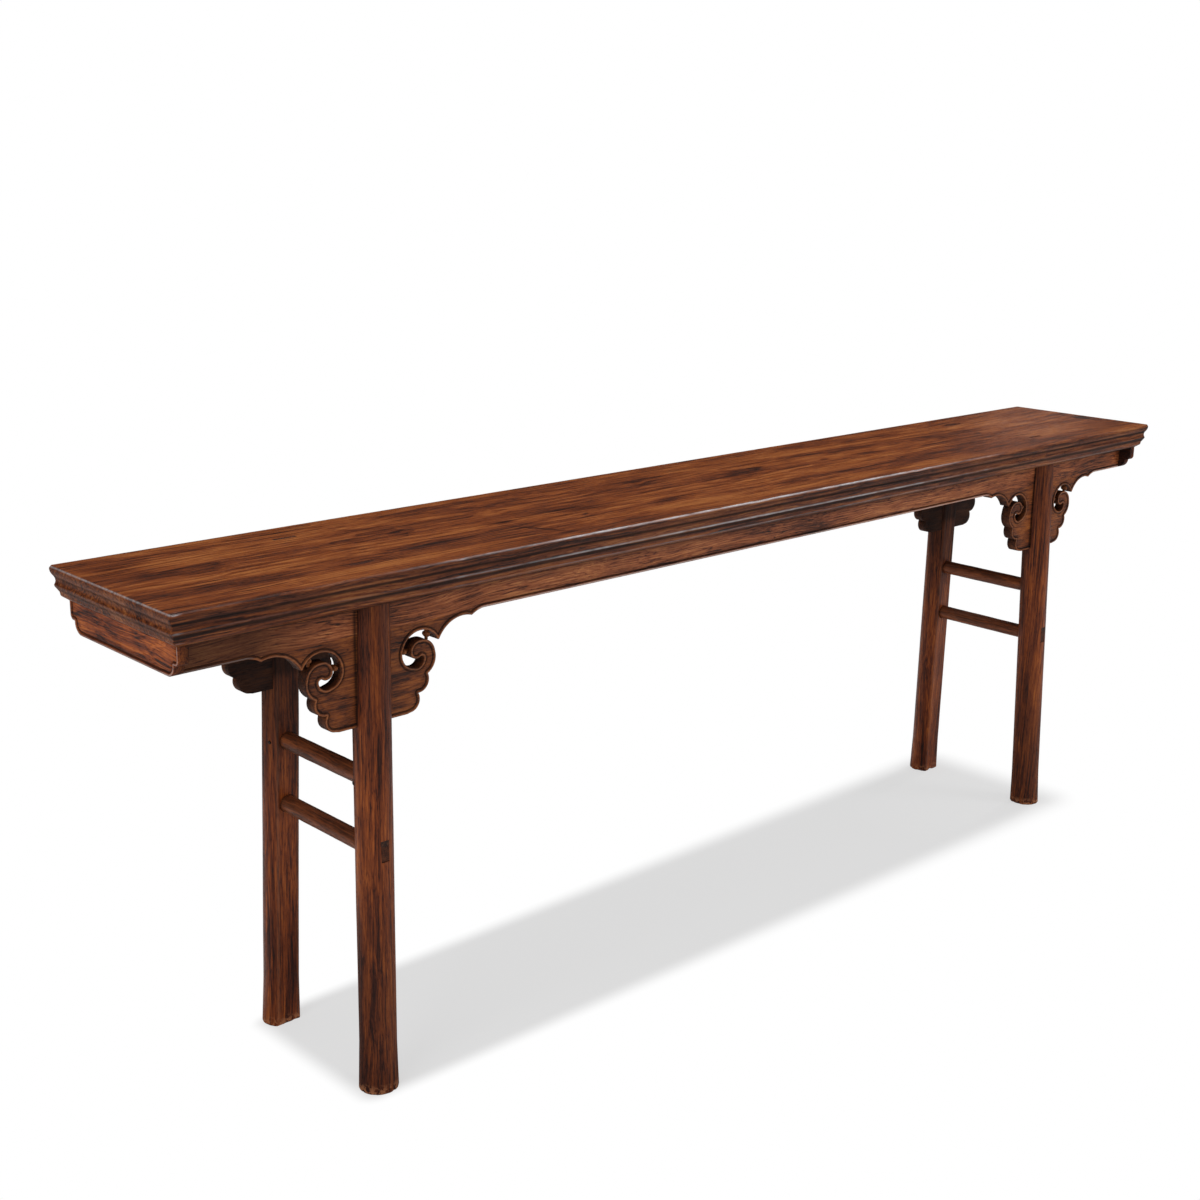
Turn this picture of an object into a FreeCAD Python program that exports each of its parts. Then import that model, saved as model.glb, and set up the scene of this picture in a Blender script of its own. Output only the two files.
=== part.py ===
import FreeCAD, Part
import math
import os
from types import SimpleNamespace

import Sketcher

# A long, narrow altar table with recessed legs.
# X runs along the table, Y across it with the front at -Y, and Z is up.
# The origin is on the floor, under the middle of the table. Lengths are in millimetres.
# A thick plank rests on a frame of two long aprons and two end boards.
# Each leg's slotted head straddles an apron and the two spandrels under it, and its
# two tenons stand in the plank. Round stretchers tie the legs into a pair at each end.

DRIVING_SIZES = {
    # the plank
    "table_height": 880,
    "top_length": 2600,
    "top_width": 368,
    "top_thickness": 55,
    # the outermost edge of the plank to the faces of the end boards and their ears
    "edge_inset": 20,
    # the frame under the plank
    "apron_height": 50,
    "apron_thickness": 22,
    "apron_setback": 48,
    "end_board_thickness": 18,
    "ear_step_height": 18,
    "ear_step_inset": 13,
    "ear_lobe_radius": 9,
    "ear_corner_radius": 14,
    "tongue_thickness": 8,
    "tongue_height": 6,
    "end_tenon_length": 9,
    "end_tenon_thickness": 10,
    "end_tenon_height": 34,
    # the battens under the plank
    "batten_width": 46,
    "batten_height": 34,
    "batten_housing": 10,
    "batten_chamfer": 4,
    # the legs: their centres are placed at the underside of the plank, in from its ends
    # and a little outside the middle of the aprons
    "leg_inset": 371,
    "leg_offset": 2,
    "splay_length": 19,
    "splay_depth": 21,
    "leg_radius": 31,
    "leg_flat": 23.5,
    "foot_radius": 33,
    "ankle_height": 80,
    "inner_tenon_width": 44,
    "inner_tenon_thickness": 8.6,
    "outer_tenon_width": 26,
    "outer_tenon_thickness": 12,
    "outer_tenon_height": 28,
    # the spandrels
    "spandrel_length": 224,
    "spandrel_drop": 149,
    "pearl_radius": 6.5,
    # the stretchers with their tenons, pegs and wedges
    "stretcher_diameter": 31,
    "upper_stretcher_drop": 96,
    "stretcher_spacing": 114,
    "stretcher_housing": 3,
    "stretcher_tenon_width": 15,
    "upper_tenon_height": 20,
    "upper_tenon_length": 26,
    "lower_tenon_height": 27,
    "tenon_recess": 1.2,
    "wedge_thickness": 9,
    "peg_diameter": 6,
    "peg_length": 42,
    "peg_inset": 12,
    # what pieces that fit into each other leave all round, and how far cuts run past
    "joint_clearance": 0.2,
    "cut_overrun": 20,
}

# The plank's edge moulding from the top down, as shares of edge_inset and top_thickness.
MOULDING_SHARES = [
    (0.12, 0.0),
    (0.0, 0.09),
    (0.22, 0.31),
    (0.18, 0.57),
    (0.49, 0.76),
    (0.53, 0.87),
    (1.0, 1.0),
]
# The rounded runs of the moulding: a small round over the top edge, then a hollow.
THUMB_RADIUS_SHARE = 0.14
COVE_RADIUS_SHARE = 0.24

# The battens' places, as shares of the distance between the legs' centres.
BATTEN_SHARES = [("left", -0.25), ("centre", 0), ("right", 0.25)]

# A spandrel's outline, from its far end to the bottom of its stem, as shares of
# spandrel_length away from the leg and spandrel_drop below the apron.
# Each run is an arc: a point that it passes through, then its end.
SPANDREL_START_SHARE = (1.0, 0.014)
SPANDREL_ARC_SHARES = [
    # the long top edge, with a cusp, down to the tip of the hook
    ((0.94, 0.027), (0.884, 0.058)),
    ((0.714, 0.064), (0.585, 0.242)),
    ((0.563, 0.25), (0.536, 0.225)),
    # round the inside of the ring
    ((0.402, 0.094), (0.246, 0.322)),
    ((0.281, 0.469), (0.375, 0.548)),
    ((0.406, 0.55), (0.438, 0.542)),
    # back round the curled end of the scroll
    ((0.467, 0.51), (0.464, 0.456)),
    ((0.426, 0.475), (0.384, 0.423)),
    ((0.335, 0.4), (0.312, 0.329)),
    ((0.34, 0.248), (0.411, 0.218)),
    ((0.48, 0.234), (0.54, 0.295)),
    # down the scroll's outside and the two lobes of the stem
    ((0.5665, 0.42), (0.473, 0.597)),
    ((0.482, 0.7), (0.39, 0.792)),
    ((0.394, 0.915), (0.321, 0.99)),
]
STEM_TURN_SHARE = (0.29, 1.0)
TONGUE_END_SHARE = 0.86

# Two pearls stand in the openwork round the scroll.
PEARL_SHARES = [(0.489, 0.191), (0.268, 0.315)]

SIDES = {"left": -1, "right": 1}
FACES = {"front": -1, "back": 1}

doc = FreeCAD.newDocument("altar_table")
sheet = doc.addObject("Spreadsheet::Sheet", "Sizes")
exported = []


class Measure:
    """A length or ratio that knows its number and the sheet formula that gives it."""

    def __init__(self, value, formula):
        self.value = value
        self.formula = formula

    def __add__(self, other):
        other = as_measure(other)
        return Measure(self.value + other.value, f"({self.formula} + {other.formula})")

    def __sub__(self, other):
        other = as_measure(other)
        return Measure(self.value - other.value, f"({self.formula} - {other.formula})")

    def __mul__(self, other):
        other = as_measure(other)
        return Measure(self.value * other.value, f"({self.formula} * {other.formula})")

    def __truediv__(self, other):
        other = as_measure(other)
        return Measure(self.value / other.value, f"({self.formula} / {other.formula})")

    def __neg__(self):
        return self * -1


def as_measure(number):
    """Give a plain number a formula too, and leave a measure as it is."""
    if isinstance(number, Measure):
        return number
    return Measure(number, f"({number})")


def fill_sheet():
    """Put the driving sizes into the sheet, and return them as named measures."""
    for row, (name, value) in enumerate(DRIVING_SIZES.items(), start=1):
        sheet.set(f"A{row}", str(value))
        sheet.setAlias(f"A{row}", name)
    doc.recompute()
    return SimpleNamespace(**{name: Measure(value, f"Sizes.{name}") for name, value in DRIVING_SIZES.items()})


d = fill_sheet()
ZERO = as_measure(0)

# Levels and places that several pieces share.
shoulder_level = d.table_height - d.top_thickness
apron_bottom = shoulder_level - d.apron_height
slot_bottom = apron_bottom - d.spandrel_drop
end_face = d.top_length / 2 - d.edge_inset
end_inner_face = end_face - d.end_board_thickness
apron_face = d.top_width / 2 - d.apron_setback
apron_middle = apron_face - d.apron_thickness / 2
apron_inner_face = apron_face - d.apron_thickness
leg_spread = d.top_length - d.leg_inset * 2
foot_x = leg_spread / 2 + d.splay_length
foot_y = apron_middle + d.leg_offset + d.splay_depth
upper_level = slot_bottom - d.upper_stretcher_drop
lower_level = upper_level - d.stretcher_spacing
spandrel_level = apron_bottom - d.spandrel_drop / 2


def leaned_x(level):
    """How far along the table a leg's centre stands at a level."""
    return foot_x - d.splay_length * (level / shoulder_level)


def leaned_y(level):
    """How far from the table's middle line a leg's centre stands at a level."""
    return foot_y - d.splay_depth * (level / shoulder_level)


spandrel_root = leaned_x(spandrel_level)


def bind(thing, path, measure):
    """Let the sheet drive one property."""
    thing.setExpression(path, as_measure(measure).formula)


def place(thing, x=ZERO, y=ZERO, z=ZERO, turned=False):
    """Put a piece where the sheet says, turned half round the vertical if asked."""
    half_turn = 180 if turned else 0
    thing.Placement = FreeCAD.Placement(
        FreeCAD.Vector(x.value, y.value, z.value), FreeCAD.Rotation(FreeCAD.Vector(0, 0, 1), half_turn)
    )
    bind(thing, "Placement.Base.x", x)
    bind(thing, "Placement.Base.y", y)
    bind(thing, "Placement.Base.z", z)


def new_body(name):
    return doc.addObject("PartDesign::Body", name)


def new_sketch(body, name, role, away=ZERO, shift_x=ZERO, shift_y=ZERO):
    """Lay a sketch on one of the body's own planes, moved along the plane's normal by away."""
    plane = next(feature for feature in body.Origin.OriginFeatures if feature.Role == role)
    sketch = body.newObject("Sketcher::SketchObject", name)
    sketch.AttachmentSupport = [(plane, "")]
    sketch.MapMode = "FlatFace"
    sketch.AttachmentOffset = FreeCAD.Placement(
        FreeCAD.Vector(shift_x.value, shift_y.value, away.value), FreeCAD.Rotation()
    )
    bind(sketch, "AttachmentOffset.Base.x", shift_x)
    bind(sketch, "AttachmentOffset.Base.y", shift_y)
    bind(sketch, "AttachmentOffset.Base.z", away)
    return sketch


def bind_constraint(sketch, measure, kind, *where):
    """Add a dimension to a sketch and let the sheet drive it."""
    index = sketch.addConstraint(Sketcher.Constraint(kind, *where, measure.value))
    bind(sketch, f"Constraints[{index}]", measure)


def bent_edge(start, end, radius, centre_on_left):
    """The minor arc between two points, and which of its ends the start is."""
    chord = end - start
    middle = (start + end) * 0.5
    reach = math.sqrt(radius**2 - (chord.Length / 2) ** 2)
    normal = FreeCAD.Vector(-chord.y, chord.x, 0).normalize()
    centre = middle + normal * (reach if centre_on_left else -reach)
    first, last = (start, end) if centre_on_left else (end, start)
    angles = [math.atan2(point.y - centre.y, point.x - centre.x) for point in (first, last)]
    if angles[1] < angles[0]:
        angles[1] += 2 * math.pi
    circle = Part.Circle(centre, FreeCAD.Vector(0, 0, 1), radius)
    return Part.ArcOfCircle(circle, angles[0], angles[1]), (1, 2) if centre_on_left else (2, 1)


def draw_outline(sketch, corners, bends=None):
    """Draw a closed outline, anticlockwise, whose corners the sheet drives.

    bends names the edges, by their first corner, that are arcs: (radius, centre on the left).
    """
    bends = bends or {}
    points = [FreeCAD.Vector(x.value, y.value, 0) for x, y in corners]
    ends = []
    for index, start in enumerate(points):
        end = points[(index + 1) % len(points)]
        if index in bends:
            radius, centre_on_left = bends[index]
            edge, order = bent_edge(start, end, radius.value, centre_on_left)
        else:
            edge, order = Part.LineSegment(start, end), (1, 2)
        sketch.addGeometry(edge, False)
        ends.append(order)
    for index, (x, y) in enumerate(corners):
        before = (index - 1) % len(corners)
        here = (index, ends[index][0])
        sketch.addConstraint(Sketcher.Constraint("Coincident", before, ends[before][1], *here))
        for kind, axis, measure in (("DistanceX", -2, x), ("DistanceY", -1, y)):
            if measure is ZERO:
                sketch.addConstraint(Sketcher.Constraint("PointOnObject", *here, axis))
            else:
                bind_constraint(sketch, measure, kind, -1, 1, *here)
        if index in bends:
            bind_constraint(sketch, bends[index][0], "Radius", index)
    return sketch


def draw_rectangle(sketch, low_x, high_x, low_y, high_y):
    return draw_outline(sketch, [(low_x, low_y), (high_x, low_y), (high_x, high_y), (low_x, high_y)])


def draw_circle(sketch, x, y, radius):
    """Draw a circle whose centre and radius the sheet drives."""
    centre = FreeCAD.Vector(x.value, y.value, 0)
    sketch.addGeometry(Part.Circle(centre, FreeCAD.Vector(0, 0, 1), radius.value), False)
    for kind, axis, measure in (("DistanceX", -2, x), ("DistanceY", -1, y)):
        if measure is ZERO:
            sketch.addConstraint(Sketcher.Constraint("PointOnObject", 0, 3, axis))
        else:
            bind_constraint(sketch, measure, kind, -1, 1, 0, 3)
    bind_constraint(sketch, radius, "Radius", 0)
    return sketch


def extrude(body, kind, name, sketch, length, both_ways=False, backwards=False):
    """Pad or pocket a sketch."""
    feature = body.newObject(f"PartDesign::{kind}", name)
    feature.Profile = sketch
    feature.SideType = "Symmetric" if both_ways else "One side"
    feature.Reversed = backwards
    bind(feature, "Length", length)
    return feature


def pad(body, name, sketch, length, both_ways=False, backwards=False):
    return extrude(body, "Pad", name, sketch, length, both_ways, backwards)


def pocket(body, name, sketch, length, both_ways=False, backwards=False):
    """Cut a sketch out of a body, and make sure that something was cut."""
    doc.recompute()
    volume = body.Shape.Volume
    feature = extrude(body, "Pocket", name, sketch, length, both_ways, backwards)
    doc.recompute()
    if body.Shape.Volume >= volume:
        raise RuntimeError(f"{name} of {body.Name} cuts nothing")
    return feature


def block(name, middle_x, middle_y, low_z, length, width, height):
    """A box, centred on a point in plan, that stands on a level."""
    box = doc.addObject("Part::Box", name)
    bind(box, "Length", length)
    bind(box, "Width", width)
    bind(box, "Height", height)
    place(box, middle_x - length / 2, middle_y - width / 2, low_z)
    return box


def export_as(label, thing):
    thing.Label = label
    exported.append(thing)


def moulded_run(name, role, half_width, length):
    """The plank's section across one direction, run symmetrically along the other."""
    half = []
    for inset_share, drop_share in MOULDING_SHARES:
        half.append((half_width - d.edge_inset * inset_share, d.table_height - d.top_thickness * drop_share))
    corners = list(reversed(half)) + [(-offset, level) for offset, level in half]
    thumb = (d.top_thickness * THUMB_RADIUS_SHARE, True)
    cove = (d.top_thickness * COVE_RADIUS_SHARE, False)
    bends = {3: cove, 5: thumb, 7: thumb, 9: cove}
    body = new_body(name)
    pad(body, f"{name}_pad", draw_outline(new_sketch(body, f"{name}_section", role), corners, bends), length, True)
    return body


def build_top():
    """The plank, with mortises for the legs, grooves for the frame and housings for battens."""
    blank = doc.addObject("Part::MultiCommon", "top_blank")
    blank.Shapes = [
        moulded_run("top_lengthwise", "YZ_Plane", d.top_width / 2, d.top_length),
        moulded_run("top_crosswise", "XZ_Plane", d.top_length / 2, d.top_width),
    ]
    gap = d.joint_clearance
    mortises = []
    for side_name, side in SIDES.items():
        for face_name, face in FACES.items():
            corner = f"{face_name}_{side_name}"
            x = leaned_x(shoulder_level) * side
            inner, outer = tenon_middles()
            mortises.append(
                block(
                    f"inner_mortise_{corner}",
                    x,
                    inner * face,
                    shoulder_level - d.cut_overrun,
                    d.inner_tenon_width + gap * 2,
                    d.inner_tenon_thickness + gap * 2,
                    d.top_thickness + d.cut_overrun * 2,
                )
            )
            mortises.append(
                block(
                    f"outer_mortise_{corner}",
                    x,
                    outer * face,
                    shoulder_level - d.cut_overrun,
                    d.outer_tenon_width + gap * 2,
                    d.outer_tenon_thickness + gap * 2,
                    d.outer_tenon_height + gap + d.cut_overrun,
                )
            )
        mortises.append(
            block(
                f"end_groove_{side_name}",
                (end_face - d.end_board_thickness / 2) * side,
                ZERO,
                shoulder_level - d.cut_overrun,
                d.tongue_thickness + gap * 2,
                (apron_middle + gap) * 2,
                d.tongue_height + gap + d.cut_overrun,
            )
        )
    for face_name, face in FACES.items():
        mortises.append(
            block(
                f"apron_groove_{face_name}",
                ZERO,
                apron_middle * face,
                shoulder_level - d.cut_overrun,
                end_inner_face * 2,
                d.tongue_thickness + gap * 2,
                d.tongue_height + gap + d.cut_overrun,
            )
        )
    for batten_name, share in BATTEN_SHARES:
        mortises.append(
            block(
                f"batten_housing_{batten_name}",
                leg_spread * share,
                ZERO,
                shoulder_level - d.cut_overrun,
                d.batten_width + gap * 2,
                apron_inner_face * 2,
                d.batten_housing + gap + d.cut_overrun,
            )
        )
    waste = doc.addObject("Part::MultiFuse", "top_waste")
    waste.Shapes = mortises
    top = doc.addObject("Part::Cut", "top")
    top.Base = blank
    top.Tool = waste
    export_as("top_board", top)


def tenon_middles():
    """How far the leg's inner and outer tenons stand from the table's middle line."""
    inner = apron_inner_face - d.joint_clearance - d.inner_tenon_thickness / 2
    outer = apron_face + d.joint_clearance + d.outer_tenon_thickness / 2
    return inner, outer


def build_apron(face_name, face):
    """A long straight apron with a tongue above, grooves below and a tenon at each end."""
    name = f"{face_name}_apron"
    body = new_body(name)
    half = d.apron_thickness / 2
    half_tongue = d.tongue_thickness / 2
    tongue_top = d.apron_height + d.tongue_height
    section = [
        (-half, ZERO),
        (half, ZERO),
        (half, d.apron_height),
        (half_tongue, d.apron_height),
        (half_tongue, tongue_top),
        (-half_tongue, tongue_top),
        (-half_tongue, d.apron_height),
        (-half, d.apron_height),
    ]
    sketch = draw_outline(new_sketch(body, f"{name}_section", "YZ_Plane"), section)
    pad(body, f"{name}_board", sketch, (end_inner_face - d.joint_clearance) * 2, True)
    half_tenon = d.end_tenon_thickness / 2
    tenon_low = (d.apron_height - d.end_tenon_height) / 2
    sketch = new_sketch(body, f"{name}_tenon_section", "YZ_Plane")
    draw_rectangle(sketch, -half_tenon, half_tenon, tenon_low, tenon_low + d.end_tenon_height)
    pad(body, f"{name}_tenons", sketch, (end_inner_face + d.end_tenon_length) * 2, True)
    gap = d.joint_clearance
    for side_name, side in SIDES.items():
        groove = f"{name}_groove_{side_name}"
        sketch = new_sketch(body, f"{groove}_plan", "XY_Plane")
        reach = d.spandrel_length * TONGUE_END_SHARE + gap
        middle = spandrel_root * side
        draw_rectangle(sketch, middle - reach, middle + reach, -half_tongue - gap, half_tongue + gap)
        pocket(body, groove, sketch, d.tongue_height + gap, backwards=True)
    place(body, ZERO, apron_middle * face, apron_bottom)
    export_as(name, body)


def build_end_board(side_name, side):
    """A short board across the end, with a small lobe over a larger one at each ear."""
    name = f"{side_name}_end_board"
    body = new_body(name)
    half = d.top_width / 2 - d.edge_inset
    step = half - d.ear_step_inset
    lobe_end = half - d.ear_lobe_radius
    foot_end = step - d.ear_corner_radius
    top = d.apron_height
    right = [
        (foot_end, ZERO),
        (step, d.ear_corner_radius),
        (step, d.ear_step_height),
        (lobe_end, d.ear_step_height),
        (half, d.ear_step_height + d.ear_lobe_radius),
        (half, top),
    ]
    corners = right + [(-y, z) for y, z in reversed(right)]
    corner, lobe = (d.ear_corner_radius, True), (d.ear_lobe_radius, True)
    bends = {0: corner, 3: lobe, 7: lobe, 10: corner}
    sketch = draw_outline(new_sketch(body, f"{name}_outline", "YZ_Plane"), corners, bends)
    pad(body, f"{name}_board", sketch, d.end_board_thickness)
    tongue_start = (d.end_board_thickness - d.tongue_thickness) / 2
    sketch = new_sketch(body, f"{name}_tongue_outline", "YZ_Plane", away=tongue_start)
    draw_rectangle(sketch, -apron_middle, apron_middle, top, top + d.tongue_height)
    pad(body, f"{name}_tongue", sketch, d.tongue_thickness)
    gap = d.joint_clearance
    half_tenon = d.end_tenon_thickness / 2 + gap
    tenon_low = (d.apron_height - d.end_tenon_height) / 2
    for face_name, face in FACES.items():
        mortise = f"{name}_mortise_{face_name}"
        sketch = new_sketch(body, f"{mortise}_outline", "YZ_Plane", away=d.end_board_thickness)
        middle = apron_middle * face
        draw_rectangle(
            sketch, middle - half_tenon, middle + half_tenon, tenon_low - gap, tenon_low + d.end_tenon_height + gap
        )
        pocket(body, mortise, sketch, d.end_tenon_length + gap)
    place(body, end_face * side, ZERO, apron_bottom, turned=side > 0)
    export_as(name, body)


def build_batten(batten_name, share):
    """A batten let into the underside of the plank between the aprons."""
    name = f"batten_{batten_name}"
    body = new_body(name)
    half = d.batten_width / 2
    low = d.batten_housing - d.batten_height
    section = [
        (-half + d.batten_chamfer, low),
        (half - d.batten_chamfer, low),
        (half, low + d.batten_chamfer),
        (half, d.batten_housing),
        (-half, d.batten_housing),
        (-half, low + d.batten_chamfer),
    ]
    sketch = draw_outline(new_sketch(body, f"{name}_section", "XZ_Plane"), section)
    pad(body, f"{name}_bar", sketch, (apron_inner_face - d.joint_clearance) * 2, True)
    place(body, leg_spread * share, ZERO, shoulder_level)
    export_as(name, body)


def leg_section(body, name, level, radius, inward):
    """A round section with its inner side cut flat, leaned inwards at its level."""
    lean_x = (foot_x - leaned_x(level)) * inward
    lean_y = foot_y - leaned_y(level)
    sketch = new_sketch(body, name, "XY_Plane", away=level, shift_x=lean_x, shift_y=lean_y)
    angle = math.asin(d.leg_flat.value / radius.value)
    circle = Part.Circle(FreeCAD.Vector(0, 0, 0), FreeCAD.Vector(0, 0, 1), radius.value)
    half_chord = radius.value * math.cos(angle)
    left = FreeCAD.Vector(-half_chord, d.leg_flat.value, 0)
    right = FreeCAD.Vector(half_chord, d.leg_flat.value, 0)
    sketch.addGeometry(Part.ArcOfCircle(circle, math.pi - angle, 2 * math.pi + angle), False)
    sketch.addGeometry(Part.LineSegment(right, left), False)
    sketch.addConstraint(Sketcher.Constraint("Coincident", 0, 3, -1, 1))
    sketch.addConstraint(Sketcher.Constraint("Coincident", 0, 2, 1, 1))
    sketch.addConstraint(Sketcher.Constraint("Coincident", 1, 2, 0, 1))
    sketch.addConstraint(Sketcher.Constraint("Horizontal", 1))
    bind_constraint(sketch, radius, "Radius", 0)
    bind_constraint(sketch, d.leg_flat, "DistanceY", -1, 1, 1, 1)
    return sketch


def build_leg(face_name, face, side_name, side):
    """A splayed leg, drawn with its flat side towards +Y and turned round for the back.

    Its own origin is the middle of its foot. inward is the way along X to the table's middle.
    """
    name = f"leg_{face_name}_{side_name}"
    inward = side * face
    body = new_body(name)
    foot = leg_section(body, f"{name}_foot", ZERO, d.foot_radius, inward)
    ankle = leg_section(body, f"{name}_ankle", d.ankle_height, d.leg_radius, inward)
    head = leg_section(body, f"{name}_head", shoulder_level, d.leg_radius, inward)
    shaft = body.newObject("PartDesign::AdditiveLoft", f"{name}_shaft")
    shaft.Profile = foot
    shaft.Sections = [ankle, head]
    shaft.Ruled = True
    gap = d.joint_clearance
    inner, outer = tenon_middles()
    lean = d.splay_length * inward
    for part, middle, width, thickness, height in (
        ("inner_tenon", inner, d.inner_tenon_width, d.inner_tenon_thickness, d.top_thickness),
        ("outer_tenon", outer, d.outer_tenon_width, d.outer_tenon_thickness, d.outer_tenon_height),
    ):
        sketch = new_sketch(body, f"{name}_{part}_plan", "XY_Plane", away=shoulder_level)
        low_y = foot_y - middle - thickness / 2
        draw_rectangle(sketch, lean - width / 2, lean + width / 2, low_y, low_y + thickness)
        pad(body, f"{name}_{part}", sketch, height)
    slot = new_sketch(body, f"{name}_slot_outline", "YZ_Plane")
    slot_low = foot_y - apron_face - gap
    slot_high = foot_y - apron_inner_face + gap
    draw_rectangle(slot, slot_low, slot_high, slot_bottom - gap, shoulder_level + d.cut_overrun)
    pocket(body, f"{name}_slot", slot, (d.leg_radius + d.splay_length + d.cut_overrun) * 2, both_ways=True)
    for level_name, level in (("upper", upper_level), ("lower", lower_level)):
        cut_stretcher_joint(body, f"{name}_{level_name}", level_name, level, inward)
    place(body, foot_x * side, foot_y * face, ZERO, turned=face > 0)
    export_as(name, body)


def cut_stretcher_joint(body, name, level_name, level, inward):
    """A shallow round housing for the stretcher's end, with the mortise behind it."""
    gap = d.joint_clearance
    lean_x = (foot_x - leaned_x(level)) * inward
    axis_y = foot_y - leaned_y(level)
    flat_y = axis_y + d.leg_flat
    bottom_y = flat_y - d.stretcher_housing
    mouth_y = flat_y + d.cut_overrun
    housing = new_sketch(body, f"{name}_housing_outline", "XZ_Plane", away=-mouth_y)
    draw_circle(housing, lean_x, level, d.stretcher_diameter / 2 + gap)
    pocket(body, f"{name}_housing", housing, mouth_y - bottom_y, backwards=True)
    mortise = new_sketch(body, f"{name}_mortise_outline", "YZ_Plane", away=lean_x)
    if level_name == "upper":
        half = d.upper_tenon_height / 2 + gap
        draw_rectangle(mortise, flat_y - d.upper_tenon_length - gap, mouth_y, level - half, level + half)
    else:
        half = d.lower_tenon_height / 2 + gap
        outside = axis_y - d.leg_radius - d.cut_overrun
        corners = [
            (outside, level - half),
            (mouth_y, level - half),
            (mouth_y, level + half),
            (bottom_y, level + half),
            (outside, level + half + wedge_rise(bottom_y - outside)),
        ]
        draw_outline(mortise, corners)
    pocket(body, f"{name}_mortise", mortise, d.stretcher_tenon_width + gap * 2, both_ways=True)
    if level_name == "upper":
        outer_face = lean_x - (d.leg_radius + d.cut_overrun) * inward
        hole = new_sketch(body, f"{name}_peg_hole_outline", "YZ_Plane", away=outer_face)
        draw_circle(hole, flat_y - d.peg_inset, level, d.peg_diameter / 2 + gap)
        depth = d.cut_overrun + d.peg_length + gap
        pocket(body, f"{name}_peg_hole", hole, depth, backwards=inward > 0)


def wedge_rise(run):
    """How much a lower mortise opens over a run towards the leg's outer side."""
    return d.wedge_thickness * run / (d.leg_radius + d.leg_flat - d.stretcher_housing)


def build_stretcher(level_name, level, side_name, side):
    """A round bar between two legs, with a tenon at each end."""
    name = f"stretcher_{side_name}_{level_name}"
    body = new_body(name)
    flat_y = leaned_y(level) - d.leg_flat
    sketch = draw_circle(new_sketch(body, f"{name}_section", "XZ_Plane"), ZERO, ZERO, d.stretcher_diameter / 2)
    pad(body, f"{name}_bar", sketch, (flat_y + d.stretcher_housing - d.joint_clearance) * 2, True)
    if level_name == "upper":
        half_height = d.upper_tenon_height / 2
        reach = flat_y + d.upper_tenon_length
    else:
        half_height = d.lower_tenon_height / 2
        reach = leaned_y(level) + d.leg_radius - d.tenon_recess
    half_width = d.stretcher_tenon_width / 2
    sketch = new_sketch(body, f"{name}_tenon_section", "XZ_Plane")
    draw_rectangle(sketch, -half_width, half_width, -half_height, half_height)
    pad(body, f"{name}_tenons", sketch, reach * 2, True)
    if level_name == "upper":
        for face_name, face in FACES.items():
            hole = f"{name}_peg_hole_{face_name}"
            sketch = new_sketch(body, f"{hole}_outline", "YZ_Plane")
            draw_circle(sketch, (flat_y + d.peg_inset) * face, ZERO, d.peg_diameter / 2 + d.joint_clearance)
            pocket(body, hole, sketch, d.stretcher_diameter, both_ways=True)
    place(body, leaned_x(level) * side, ZERO, level)
    export_as(name, body)


def build_wedge(face_name, face, side_name, side):
    """A wedge driven in over a lower stretcher's tenon from the leg's outer side."""
    name = f"wedge_{face_name}_{side_name}"
    level = lower_level
    body = new_body(name)
    thin_y = leaned_y(level) - d.leg_flat + d.stretcher_housing * 2
    thick_y = leaned_y(level) + d.leg_radius - d.tenon_recess
    root_y = leaned_y(level) - d.leg_flat + d.stretcher_housing
    low = d.lower_tenon_height / 2
    corners = [
        (thin_y, low),
        (thick_y, low),
        (thick_y, low + wedge_rise(thick_y - root_y)),
        (thin_y, low + wedge_rise(thin_y - root_y)),
    ]
    sketch = draw_outline(new_sketch(body, f"{name}_outline", "YZ_Plane"), corners)
    pad(body, f"{name}_wedge", sketch, d.stretcher_tenon_width, True)
    place(body, leaned_x(level) * side, ZERO, level, turned=face < 0)
    export_as(name, body)


def build_peg(face_name, face, side_name, side):
    """A peg through the leg and an upper stretcher's tenon, from the table's end."""
    name = f"peg_{face_name}_{side_name}"
    level = upper_level
    body = new_body(name)
    sketch = draw_circle(new_sketch(body, f"{name}_section", "YZ_Plane"), ZERO, ZERO, d.peg_diameter / 2)
    pad(body, f"{name}_pin", sketch, d.peg_length - peg_sink())
    x = (leaned_x(level) + d.leg_radius - peg_sink()) * side
    y = (leaned_y(level) - d.leg_flat + d.peg_inset) * face
    place(body, x, y, level, turned=side > 0)
    export_as(name, body)


def peg_sink():
    """How far a peg's head lies inside the leg's widest point, where the leg curves away."""
    return d.tenon_recess


def spandrel_wire(start_share, arc_shares, closing_shares, direction):
    """A closed wire of arcs, then straight runs back to its start."""

    def point(share):
        away, down = share
        return FreeCAD.Vector(d.spandrel_length.value * away * direction, 0, -d.spandrel_drop.value * down)

    edges = []
    here = start_share
    for through, end in arc_shares:
        edges.append(Part.Arc(point(here), point(through), point(end)).toShape())
        here = end
    for end in closing_shares + [start_share]:
        if end != here:
            edges.append(Part.LineSegment(point(here), point(end)).toShape())
            here = end
    return Part.Wire(edges)


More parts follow.
